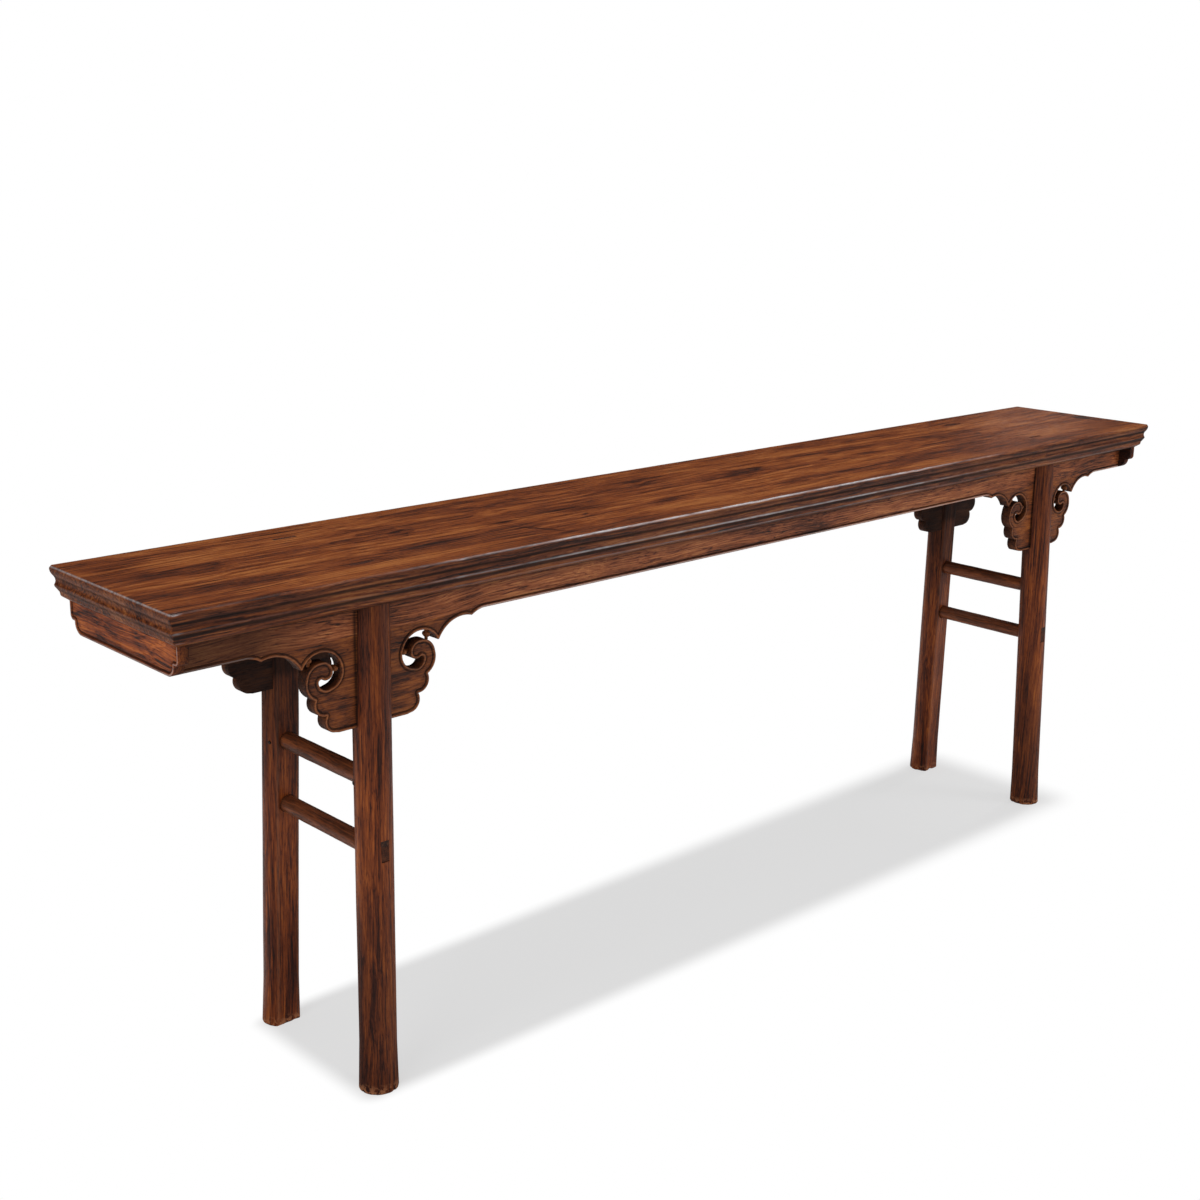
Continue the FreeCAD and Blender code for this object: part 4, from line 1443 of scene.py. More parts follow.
@dataclass
class Aprons:
    """The long boards under the plank, beaded below between and beyond the carved wings."""

    bead: Bead = field(default_factory=Bead)
    spandrels: Spandrels = field(default_factory=Spandrels)
    end_gap: float = 0.1 * MM
    root_gap: float = 0.2 * MM
    # rows across the board: close together on the bead, then even ones from above it to the top
    bead_rows: tuple = (0.5 * MM, 9.0 * MM, 0.6 * MM)
    plain_from: float = 10 * MM
    plain_rows: int = 7
    # stations along the board: even ones, and more round each wing's tip and each leg's edge
    stations_along: int = 320
    tip_reach: float = 75 * MM
    tip_step: float = 1.5 * MM
    leg_steps: tuple = tuple(step * MM for step in range(-6, 8, 2))
    # painted shadow under the plank's lip: depths below the plank, and how dark they are
    lip_shadow_depths: tuple = (22 * MM, 12 * MM, 5 * MM)
    lip_shadow: tuple = (0.0, 0.35, 0.85)
    # painted shade under the plank's overhang: the left end darkens from the first of these places to the
    # second
    shaded_end: tuple = (-1.0, -1.14)

    def roots(self) -> list[float]:
        """The middles of the legs along X, where the wings start."""
        return [Wing(Face.FRONT, side, Reach.INNER).root + side.value * self.root_gap for side in Side]

    def wings(self, roots: list[float]) -> list[Array]:
        """The tips of the four wings' carved edges, as the apron sees them.

        Args:
            roots: the legs' middles.

        Returns:
            For each wing, rows of places along the board and across it.
        """
        edge = self.spandrels.carved_edge()
        edge = edge[edge[:, 0] > self.spandrels.length * 0.55]
        return [np.column_stack([root + out * edge[:, 0], -edge[:, 1]]) for root in roots for out in (-1, 1)]

    def stations(self, half: float, tips: list[float], roots: list[float]) -> Array:
        """Places along the board, close together where the bead turns into a wing and at the legs.

        Args:
            half: half the board's length.
            tips: where the wings end.
            roots: the legs' middles.

        Returns:
            The places in order.
        """
        places = list(np.linspace(-half, half, self.stations_along))
        for tip in tips:
            places += list(np.arange(tip - self.tip_reach, tip + self.tip_reach, self.tip_step))
        edges = [self.spandrels.leg_edge + step for step in self.leg_steps]
        for root in roots:
            places += [root + way * edge for way in (-1, 1) for edge in edges]
        return np.unique(np.round(np.clip(places, -half, half), 5))

    def shell(self, node: str) -> Shell:
        """Sweep the board's section along it, with its bead fading where a wing takes over.

        Args:
            node: the solid that it stands for.

        Returns:
            The shell, with its carved face at zero on the second axis.
        """
        low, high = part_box(node)
        height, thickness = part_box("top_board")[0].z - low.z, high.y - low.y
        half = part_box("right_end_board")[0].x - self.end_gap
        roots = self.roots()
        wings = self.wings(roots)
        tips = sorted(wing[0, 0] for wing in wings)
        along = self.stations(half, tips, roots)
        even = np.linspace(self.plain_from, height, self.plain_rows)
        levels = np.concatenate([[0.0], np.arange(*self.bead_rows), even])
        plan = np.stack(np.meshgrid(along, levels, indexing="ij"), axis=2).reshape(-1, 2)
        straight = zip((-half, *tips[1::2]), (*tips[::2], half))
        edges = wings + [np.array([(start, 0.0), (end, 0.0)]) for start, end in straight]
        away = np.min([distance_to(edge, plan) for edge in edges], axis=0)
        rows, columns = len(along), len(levels)
        front = np.column_stack([plan[:, 0], self.bead.depth(away), plan[:, 1]]).reshape(rows, columns, 3)
        back_levels = (height, height / 2, 0.0)
        backs = [np.column_stack([along, np.full(rows, thickness), np.full(rows, z)]) for z in back_levels]
        loop = np.concatenate([front, np.stack(backs, axis=1)], axis=1)
        count = loop.shape[1]
        faces = [
            (i * count + j, (i + 1) * count + j, (i + 1) * count + k, i * count + k)
            for i in range(rows - 1)
            for j, k in zip(range(count), (*range(1, count), 0))
        ]
        faces.append(tuple(range(count)))
        faces.append(tuple((rows - 1) * count + j for j in reversed(range(count))))
        wear = self.bead.wear(away).reshape(rows, columns)
        dirt_and_shade = self._dirt_and_shade(plan, away, roots).reshape(rows, columns)
        # painted shadow under the plank's lip
        dirt_and_shade = np.maximum(dirt_and_shade, np.interp(levels, height - np.array(self.lip_shadow_depths), self.lip_shadow))
        wear, grime = (
            np.pad(shares, ((0, 0), (0, len(back_levels))), constant_values=plain)
            for shares, plain in ((wear, 0.0), (dirt_and_shade, 0.6))
        )
        return Shell(loop.reshape(-1, 3) + np.array([0.0, 0.0, low.z]), faces, wear.ravel(), grime.ravel())

    def _dirt_and_shade(self, plan: Array, away: Array, roots: list[float]) -> Array:
        """Dirt behind the bead, and painted shade beside the legs and on the left end.

        Args:
            plan: places along the board and across it.
            away: their distances from the carved edge.
            roots: the legs' middles.

        Returns:
            Shares of dirt and painted shade.
        """
        dirt_and_shade = self.bead.grime(away)
        # painted shade beside the legs
        for root in roots:
            dirt_and_shade = np.maximum(dirt_and_shade, leg_seam_shade(np.abs(plan[:, 0] - root) - self.spandrels.leg_edge))
        # painted shade on the left end
        clean, dark = self.shaded_end
        return np.maximum(dirt_and_shade, np.interp(-plan[:, 0], (-clean, -dark), (0.0, 0.8)))

    def build(self, material: Material) -> None:
        """Make both aprons.

        Args:
            material: their finish.
        """
        for face in Face:
            node = f"{face.name.lower()}_apron"
            matrix = Matrix.Translation((0, face.outer(node), 0)) @ Matrix.Diagonal((1, -face.value, 1, 1))
            piece = make_piece(f"beaded_{node}", self.shell(node).placed(matrix), material)
            hand_in(piece, "frame_wood", node)


def new_tree(name: str, inputs: dict[str, float | int | None]) -> tuple[Tree, dict[str, Socket]]:
    """Start a geometry tree with named inputs.

    Args:
        name: the tree's name.
        inputs: each input's name and its default value, or None for a material.

    Returns:
        The tree, and its input sockets by name.
    """
    kinds = {float: "NodeSocketFloat", int: "NodeSocketInt", type(None): "NodeSocketMaterial"}
    tree = bpy.data.node_groups.new(name, "GeometryNodeTree")
    tree.interface.new_socket("Geometry", in_out="OUTPUT", socket_type="NodeSocketGeometry")
    for label, value in inputs.items():
        socket = tree.interface.new_socket(label, in_out="INPUT", socket_type=kinds[type(value)])
        if value is not None:
            socket.default_value = value
    source = add_node(tree, "NodeGroupInput")
    return tree, {label: source.outputs[label] for label in inputs}


def finish_tree(tree: Tree, geometry: Value, material: Socket) -> None:
    """End a tree with real geometry that carries its material.

    Args:
        tree: the geometry tree.
        geometry: what it has made.
        material: the material's socket.
    """
    real = add_node(tree, "GeometryNodeRealizeInstances", geometry)
    dressed = add_node(tree, "GeometryNodeSetMaterial", named={"Geometry": real, "Material": material})
    add_node(tree, "NodeGroupOutput", dressed)


def run_tree(name: str, tree: Tree, values: dict[str, object]) -> Object:
    """Run a geometry tree on an empty mesh, and keep the result as a plain mesh.

    Args:
        name: the new object's name.
        tree: the geometry tree.
        values: the tree's named inputs. The others keep their defaults.

    Returns:
        The object, with no modifier left on it.
    """
    piece = new_object(name, bpy.data.meshes.new(name))
    modifier = piece.modifiers.new("build", "NODES")
    modifier.node_group = tree
    for item in tree.interface.items_tree:
        if item.item_type == "SOCKET" and item.in_out == "INPUT" and item.name in values:
            modifier[item.identifier] = values[item.name]
    piece.update_tag()
    take_result(piece)
    return piece


def swept(tree: Tree, ends: tuple[Value, Value], spacing: Value, section: Node) -> Node:
    """Sweep a section along a straight line, with closed ends.

    Args:
        tree: the geometry tree.
        ends: the line's two ends.
        spacing: how far apart the rings of points are.
        section: the section's curve.

    Returns:
        The bar's mesh.
    """
    line = add_node(tree, "GeometryNodeCurvePrimitiveLine", named={"Start": ends[0], "End": ends[1]})
    named = {"Curve": line, "Length": spacing}
    points = add_node(tree, "GeometryNodeResampleCurve", named=named, mode="LENGTH")
    named = {"Curve": points, "Profile Curve": section, "Fill Caps": True}
    return add_node(tree, "GeometryNodeCurveToMesh", named=named)


def ends_across(tree: Tree, half: Value) -> tuple[Node, Node]:
    """The ends of a line along Y, as far to either side."""
    minus = add_node(tree, MATH, half, -1.0, operation="MULTIPLY")
    return add_node(tree, COMBINE, None, minus), add_node(tree, COMBINE, None, half)


def roughened(tree: Tree, mesh: Value, given: dict[str, Socket]) -> Node:
    """Push a mesh in and out a little, as hand tools leave it.

    Args:
        tree: the geometry tree.
        mesh: the smooth mesh.
        given: the tree's inputs, with the unevenness, the seed and the dents per metre.

    Returns:
        The changed mesh.
    """
    # a dent is nearly five times as long up and down as it is wide
    drawn_out = (1.0, 1.0, 0.22)
    place = add_node(tree, "GeometryNodeInputPosition")
    drawn = add_node(tree, VECTOR, place, drawn_out, operation="MULTIPLY")
    named = {"Vector": drawn, "W": given["Seed"], "Scale": given["Dents per Metre"], "Detail": 2.0}
    noise = add_node(tree, NOISE, named=named, noise_dimensions="4D")
    centred = add_node(tree, MATH, noise, 0.5, operation="SUBTRACT")
    push = add_node(tree, MATH, centred, given["Unevenness"], operation="MULTIPLY")
    normal = add_node(tree, "GeometryNodeInputNormal")
    offset = add_node(tree, VECTOR, normal, named={"Scale": push}, operation="SCALE")
    return add_node(tree, "GeometryNodeSetPosition", named={"Geometry": mesh, "Offset": offset})


@dataclass
class Leg:
    """One splayed leg: round outside, flat towards the leg behind or before it, slotted above."""

    face: Face
    side: Side
    radius: float = 31 * MM
    flat: float = 23.5 * MM
    foot_radius: float = 33 * MM
    ankle: float = 80 * MM
    lean_along: float = 19 * MM
    lean_across: float = 21 * MM
    gap: float = 0.2 * MM
    # the tenons in the plank: their thickness and width, and where they start and end
    inner_tenon: tuple = (8.6 * MM, 44 * MM)
    outer_tenon: tuple = (12 * MM, 26 * MM)
    outer_tenon_height: float = 28 * MM
    inner_tenon_sink: float = 0.15 * MM
    tenon_root: float = 1 * MM
    # the cuts: how far they run out of the leg or past the plank's underside, and their play
    slot_reach: float = 80 * MM
    slot_overrun: float = 9 * MM
    housing_depth: float = 3 * MM
    housing_play: float = 0.5 * MM
    housing_overrun: float = 12 * MM
    mortise_play: float = 0.3 * MM
    peg_radius: float = 3.3 * MM
    peg_depth: float = 12 * MM
    overrun: float = 60 * MM
    # creases over this many degrees stay sharp
    sharp: float = 38.0

    @property
    def node(self) -> str:
        """The solid that the leg stands for."""
        return f"leg_{self.face.name}_{self.side.name}".lower()

    @property
    def apron(self) -> str:
        """The apron that stands in the leg's slot."""
        return f"{self.face.name.lower()}_apron"

    @property
    def shoulder(self) -> float:
        """The level of the plank's underside."""
        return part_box("top_board")[0].z

    def foot(self) -> Vector:
        """The middle of the foot."""
        inwards = Vector((self.side.value, self.face.value, 0.0)) * self.foot_radius
        return Vector((self.side.outer(self.node), self.face.outer(self.node), 0.0)) - inwards

    def axis(self, level: float) -> Vector:
        """The leg's centre at a level."""
        lean = Vector((self.lean_along * self.side.value, self.lean_across * self.face.value, 0.0))
        return self.foot() - lean * (level / self.shoulder) + Vector((0, 0, level))

    @staticmethod
    def tree() -> Tree:
        """The rule of a leg: a round post, swelling at the foot, one side planed flat, splayed both ways.

        Returns:
            The geometry tree.
        """
        tree, given = new_tree(
            "splayed_leg",
            {
                "Height": 0.825,
                "Radius": 0.031,
                "Foot Radius": 0.033,
                "Ankle Height": 0.08,
                "Flat": 0.0235,
                "Arris": 0.0012,
                "Lean Along": 0.019,
                "Lean Across": 0.021,
                "Ring Spacing": 0.004,
                "Unevenness": 0.0012,
                "Dents per Metre": 26.0,
                "Chip": 0.006,
                "Chips per Metre": 110.0,
                "Chip Height": 0.007,
                "Seed": 0.0,
                "Material": None,
            },
        )
        top = add_node(tree, COMBINE, None, None, given["Height"])
        named = {"Resolution": 88, "Radius": given["Radius"]}
        ring = add_node(tree, "GeometryNodeCurvePrimitiveCircle", named=named)
        post = swept(tree, ((0, 0, 0), top), given["Ring Spacing"], ring)
        mesh = roughened(tree, post, given)
        place = add_node(tree, "GeometryNodeInputPosition")
        x, y, z = add_node(tree, SPLIT, place).outputs
        low = add_node(tree, RANGE, z, 0.0, given["Ankle Height"], 1.0, 0.0)
        ratio = add_node(tree, MATH, given["Foot Radius"], given["Radius"], operation="DIVIDE")
        extra = add_node(tree, MATH, ratio, 1.0, operation="SUBTRACT")
        swell = add_node(tree, MATH, low, extra, 1.0, operation="MULTIPLY_ADD")
        wide, deep = (add_node(tree, MATH, across, swell, operation="MULTIPLY") for across in (x, y))
        planed = add_node(tree, MATH, deep, given["Flat"], given["Arris"], operation="SMOOTH_MIN")
        share = add_node(tree, MATH, z, given["Height"], operation="DIVIDE")
        moved = [
            add_node(tree, MATH, share, given[lean], start, operation="MULTIPLY_ADD")
            for lean, start in (("Lean Along", wide), ("Lean Across", planed))
        ]
        named = {"Vector": place, "W": given["Seed"], "Scale": given["Chips per Metre"]}
        noise = add_node(tree, NOISE, named=named, noise_dimensions="4D")
        chipped = add_node(tree, RANGE, noise, 0.5, 0.75, 0.0, 1.0)
        sole = add_node(tree, RANGE, z, 0.0, given["Chip Height"], 1.0, 0.0)
        lift = add_node(tree, MATH, chipped, sole, operation="MULTIPLY")
        level = add_node(tree, "ShaderNodeClamp", z, 0.0, given["Height"])
        moved.append(add_node(tree, MATH, lift, given["Chip"], level, operation="MULTIPLY_ADD"))
        named = {"Geometry": mesh, "Position": add_node(tree, COMBINE, *moved)}
        finish_tree(tree, add_node(tree, "GeometryNodeSetPosition", named=named), given["Material"])
        return tree

    def tenons(self) -> list[Shell]:
        """The two tenons that stand in the plank: the inner one shows on its upper side.

        Returns:
            Closed boxes, each dark with dirt.
        """
        x = self.axis(self.shoulder).x
        out = self.face.value
        plank_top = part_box("top_board")[1].z
        shells = []
        for start, way, (deep, wide), top in (
            (self.face.inner(self.apron), -out, self.inner_tenon, plank_top - self.inner_tenon_sink),
            (self.face.outer(self.apron), out, self.outer_tenon, self.shoulder + self.outer_tenon_height),
        ):
            near = start + way * self.gap
            ys = sorted((near, near + way * deep))
            low = (x - wide / 2, ys[0], self.shoulder - self.tenon_root)
            shells.append(box_shell(low, (x + wide / 2, ys[1], top), grime=0.85))
        return shells

    def cutters(self) -> list[Shell]:
        """What is cut out of the leg: the slot, the housings, the wedged mortise and the peg's hole.

        Returns:
            Closed shells, clear of each other.
        """
        x, out = self.axis(self.shoulder).x, self.face.value
        low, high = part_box(self.apron)
        slot_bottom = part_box("spandrel_front_left_inner")[0].z - self.gap
        slot_low = (x - self.slot_reach, low.y - self.gap, slot_bottom)
        slot_high = (x + self.slot_reach, high.y + self.gap, self.shoulder + self.slot_overrun)
        shells = [box_shell(slot_low, slot_high)]
        for row in ("upper", "lower"):
            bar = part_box(f"stretcher_{self.side.name}_{row}".lower())
            level = (bar[0].z + bar[1].z) / 2
            axis = self.axis(level)
            plane = axis.y - out * self.flat
            mouth = Vector((axis.x, plane - out * self.housing_overrun, level))
            end = Vector((axis.x, plane + out * self.housing_depth, level))
            shells.append(rod_shell(mouth, end, (bar[1].x - bar[0].x) / 2 + self.housing_play))
        # the mortise of the lower bar's tenon lies as far below the bar's middle as above it
        wedge = f"wedge_{self.face.name}_{self.side.name}".lower()
        wedge_low, wedge_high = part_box(wedge)
        ys = sorted((self.face.inner(wedge), axis.y + out * self.overrun))
        play = self.mortise_play
        mortise_low = (wedge_low.x - play, ys[0], 2 * level - wedge_low.z - play)
        shells.append(box_shell(mortise_low, (wedge_high.x + play, ys[1], wedge_high.z + play)))
        peg = sum(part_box(f"peg_{self.face.name}_{self.side.name}".lower()), Vector()) / 2
        starts = (axis.x + self.side.value * away for away in (self.peg_depth, self.overrun))
        shells.append(rod_shell(*(Vector((start, peg.y, peg.z)) for start in starts), self.peg_radius, 24))
        return shells

    def shares(self, points: Array) -> tuple[Array, Array]:
        """How rubbed each point of the leg is, and how dark with painted shade and darker front feet.

        Args:
            points: the leg's points in their place.

        Returns:
            The wear along the two arrises, and the painted shade and darker feet.
        """
        level = points[:, 2]
        up, foot, out = level / self.shoulder, self.foot(), self.face.value
        x = points[:, 0] - foot.x + self.lean_along * self.side.value * up
        y = points[:, 1] - foot.y + self.lean_across * out * up
        half_chord = math.sqrt(self.radius**2 - self.flat**2)
        wear = hump(np.hypot(np.abs(x) - half_chord, y + out * self.flat), 0.0, 2.6 * MM)
        # painted shade under the plank, darkest in its last few millimetres
        shade_under_plank = np.interp(level - self.shoulder, (-0.3, 0.0), (0.0, 0.45))
        close = np.interp(level - self.shoulder, (-14 * MM, 0.0), (0.0, 0.6))
        # the front legs are darker below
        front_darker_below = 0.45 * np.interp(level, (0.17, 0.42), (1.0, 0.0)) * (self.face is Face.FRONT)
        # painted shade: the inner side is darker above, and so is nearly all of a back leg's
        reach = 18 * MM if self.face is Face.BACK else 0.0
        inward = np.clip((reach - out * y) / (8 * MM), 0, 1)
        shaded = inward * np.interp(level, (0.42, 0.58, 0.64, 0.655), (0, 0.6, 0.7, 1.0))
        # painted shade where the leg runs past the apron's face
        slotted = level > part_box("spandrel_front_left_inner")[0].z
        seam_shade = slotted * leg_seam_shade(points[:, 1] - self.face.outer(self.apron))
        return wear, np.max([shade_under_plank, close, front_darker_below, shaded, seam_shade], axis=0)

    def build(self, tree: Tree, material: Material, seed: float) -> None:
        """Run the leg's rule, put the leg in place, cut its joints and add its tenons.

        Args:
            tree: the rule, which all legs share.
            material: the legs' finish.
            seed: picks the leg's own unevenness.
        """
        values = {
            "Height": self.shoulder,
            "Radius": self.radius,
            "Foot Radius": self.foot_radius,
            "Ankle Height": self.ankle,
            "Flat": self.flat,
            "Lean Along": self.lean_along * self.side.value * self.face.value,
            "Lean Across": self.lean_across,
            "Seed": seed,
            "Material": material,
        }
        post = run_tree("post", tree, values)
        turn = Matrix.Rotation(math.pi if self.face is Face.BACK else 0.0, 4, "Z")
        post.data.transform(Matrix.Translation(self.foot()) @ turn)
        cut_away(post, self.cutters())
        body = into_shell(post)
        body.wear, body.grime = self.shares(body.points)
        shell = joined([body, *self.tenons()])
        hand_in(make_piece(f"splayed_{self.node}", shell, material, self.sharp), "leg_wood", self.node)


@dataclass
class Stretchers:
    """The four round bars that tie the legs of a pair, with their tenons."""

    tenon_width: float = 15 * MM
    upper_tenon_height: float = 20 * MM
    lower_tenon_height: float = 27 * MM
    housing: float = 2.6 * MM
    play: float = 0.2 * MM
    seed_step: float = 3.7
    wear: float = 0.25
    # dirt where a bar enters a leg
    dirt_reach: float = 8 * MM

    @staticmethod
    def tree() -> Tree:
        """The rule of a stretcher: a slightly uneven round bar along Y.

        Returns:
            The geometry tree.
        """
        tree, given = new_tree(
            "round_stretcher",
            {
                "Half Length": 0.1,
                "Radius": 0.0155,
                "Ring Spacing": 0.003,
                "Unevenness": 0.0012,
                "Dents per Metre": 34.0,
                "Seed": 0.0,
                "Material": None,
            },
        )
        named = {"Resolution": 56, "Radius": given["Radius"]}
        ring = add_node(tree, "GeometryNodeCurvePrimitiveCircle", named=named)
        bar = swept(tree, ends_across(tree, given["Half Length"]), given["Ring Spacing"], ring)
        finish_tree(tree, roughened(tree, bar, given), given["Material"])
        return tree

    def build(self, material: Material, legs: list[Leg]) -> None:
        """Run the bar's rule four times and add the tenons.

        Args:
            material: the bars' finish.
            legs: the four legs, which the bars run between.
        """
        tree = self.tree()
        seed = 0.0
        for leg in (leg for leg in legs if leg.face is Face.BACK):
            for row, tenon_height in (("upper", self.upper_tenon_height), ("lower", self.lower_tenon_height)):
                node = f"stretcher_{leg.side.name}_{row}".lower()
                low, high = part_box(node)
                axis = leg.axis((low.z + high.z) / 2)
                half_length = axis.y - leg.flat + self.housing
                radius = (high.x - low.x) / 2 - self.play
                seed += self.seed_step
                values = {"Half Length": half_length, "Radius": radius, "Seed": seed, "Material": material}
                bar = run_tree("bar", tree, values)
                bar.data.transform(Matrix.Translation((axis.x, 0, axis.z)))
                body = into_shell(bar)
                inside = np.abs(body.points[:, 1]) - half_length + self.dirt_reach
                body.grime = 0.8 * np.clip(inside / self.dirt_reach, 0, 1)
                body.wear[:] = self.wear
                corner = (axis.x - self.tenon_width / 2, low.y, axis.z - tenon_height / 2)
                opposite = (axis.x + self.tenon_width / 2, high.y, axis.z + tenon_height / 2)
                shell = joined([body, box_shell(corner, opposite, grime=0.7)])
                hand_in(make_piece(f"round_{node}", shell, material), "leg_wood", node)


@dataclass
class Battens:
    """Three battens let into the underside of the plank."""

    wear: float = 0.2
    grime: float = 0.2

    @staticmethod
    def tree() -> Tree:
        """The rule of the battens: one chamfered bar, repeated at even steps along the plank.

        Returns:
            The geometry tree.
        """
        tree, given = new_tree(
            "batten_row",
            {
                "Count": 3,
                "Spacing": 0.46,
                "Length": 0.22,
                "Width": 0.046,
                "Height": 0.034,
                "Chamfer": 0.004,
                "Ring Spacing": 0.006,
                "Level": 0.8,
                "Material": None,
            },
        )
        half = add_node(tree, MATH, given["Length"], 0.5, operation="MULTIPLY")
        named = {"Width": given["Width"], "Height": given["Height"]}
        section = add_node(tree, "GeometryNodeCurvePrimitiveQuadrilateral", named=named)
        named = {"Curve": section, "Radius": given["Chamfer"], "Count": 3}
        soft = add_node(tree, "GeometryNodeFilletCurve", named=named, mode="POLY")
        bar = swept(tree, ends_across(tree, half), given["Ring Spacing"], soft)
        gaps = add_node(tree, MATH, given["Count"], 1.0, operation="SUBTRACT")
        span = add_node(tree, MATH, gaps, given["Spacing"], operation="MULTIPLY")
        first = add_node(tree, MATH, span, -0.5, operation="MULTIPLY")
        origin = add_node(tree, COMBINE, first, None, given["Level"])
        step = add_node(tree, COMBINE, given["Spacing"])
        named = {"Count": given["Count"], "Start Location": origin, "Offset": step}
        row = add_node(tree, "GeometryNodeMeshLine", named=named)
        placed = add_node(tree, "GeometryNodeInstanceOnPoints", named={"Points": row, "Instance": bar})
        finish_tree(tree, placed, given["Material"])
        return tree

    def build(self, material: Material) -> None:
        """Run the battens' rule once for all three.

        Args:
            material: their finish.
        """
        boxes = [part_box(node) for node in BATTENS]
        low, high = boxes[0]
        values = {
            "Spacing": boxes[1][0].x - low.x,
            "Length": high.y - low.y,
            "Width": high.x - low.x,
            "Height": high.z - low.z,
            "Level": (low.z + high.z) / 2,
            "Material": material,
        }
        piece = run_tree("battens", self.tree(), values)
        set_shares(piece.data, wear=self.wear, grime=self.grime)
        hand_in(piece, "frame_wood", *BATTENS)


@dataclass
class Pearls:
    """The small pearls carved in the openwork round each scroll, each on a thin neck."""

    radius: float = 5.2 * MM
    neck_radius: float = 2.9 * MM
    neck_length: float = 19 * MM
    # the two pearls of a wing, as shares of its length and drop: the first one's neck stands
    # upright, and the second one's lies level
    place_shares: tuple = ((0.499, 0.176), (0.291, 0.315))
    neck_turns: tuple = (0.0, math.pi / 2)
    spandrels: Spandrels = field(default_factory=Spandrels)

    def places(self, share: tuple[float, float]) -> list[tuple[float, float, float]]:
        """The centres of one of the two pearls, in all eight wings.

        Args:
            share: its place as shares of a wing's length and drop.

        Returns:
            One centre for each wing.
        """
        along, down = self.spandrels.real(share)
        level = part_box("front_apron")[0].z - down
        middles = [(wing.face.outer(wing.node) + wing.face.inner(wing.node)) / 2 for wing in WINGS]
        return [(wing.root + wing.out * along, middle, level) for wing, middle in zip(WINGS, middles)]

    def tree(self) -> Tree:
        """The rule of the pearls: a drawn-out ball on a neck at each centre, each turned a little.

        Returns:
            The geometry tree.
        """
        tree, given = new_tree(
            "pearls",
            {
                "Radius": 0.005,
                "Depth Ratio": 1.6,
                "Neck Radius": 0.002,
                "Neck Length": 0.018,
                "Seed": 11,
                "Material": None,
            },
        )
        slant, lift = 0.1, 0.12
        named = {"Segments": 24, "Rings": 14, "Radius": given["Radius"]}
        ball = add_node(tree, "GeometryNodeMeshUVSphere", named=named)
        size = add_node(tree, COMBINE, 1.0, given["Depth Ratio"], 1.0)
        drawn = add_node(tree, "GeometryNodeTransform", named={"Geometry": ball, "Scale": size})
        named = {"Vertices": 14, "Radius": given["Neck Radius"], "Depth": given["Neck Length"]}
        neck = add_node(tree, "GeometryNodeMeshCylinder", named=named)
        pearl = add_node(tree, "GeometryNodeJoinGeometry", [drawn, neck])
        placed = []
        for share, turn in zip(self.place_shares, self.neck_turns):
            points = [add_node(tree, "GeometryNodePoints", 1, centre) for centre in self.places(share)]
            lowest, highest = (-slant, turn - lift, -slant), (slant, turn + lift, slant)
            named = {"Seed": given["Seed"]}
            turns = add_node(
                tree, "FunctionNodeRandomValue", lowest, highest, named=named, data_type="FLOAT_VECTOR"
            )
            named = {"Instance": pearl, "Rotation": turns}
            named["Points"] = add_node(tree, "GeometryNodeJoinGeometry", points)
            placed.append(add_node(tree, "GeometryNodeInstanceOnPoints", named=named))
        finish_tree(tree, add_node(tree, "GeometryNodeJoinGeometry", placed), given["Material"])
        return tree

    def build(self, material: Material) -> None:
        """Run the pearls' rule once for all of them.

        Args:
            material: the carving's finish.
        """
        values = {
            "Radius": self.radius,
            "Neck Radius": self.neck_radius,
            "Neck Length": self.neck_length,
            "Material": material,
        }
        piece = run_tree("pearls", self.tree(), values)
        piece.data.polygons.foreach_set("use_smooth", np.ones(len(piece.data.polygons), bool))
        set_shares(piece.data, wear=0.6, grime=0.2)
        hand_in(piece, "carved_wood")


@dataclass(frozen=True)
class Lamp:
    """One soft rectangular lamp: its place, what it points at, its width and height, and its watts."""

    name: str
    place: tuple[float, float, float]
    aim: tuple[float, float, float]
    size: tuple[float, float]
    power: float

    def hang(self) -> None:
        """Put the lamp into the scene, out of the camera's sight."""
        data = bpy.data.lights.new(self.name, "AREA")
        data.shape = "RECTANGLE"
        data.size, data.size_y = self.size
        data.energy = self.power
        lamp = new_object(self.name, data)
        lamp.location = self.place
        lamp.visible_camera = False
        lamp.rotation_euler = (Vector(self.aim) - Vector(self.place)).to_track_quat("-Z", "X").to_euler()


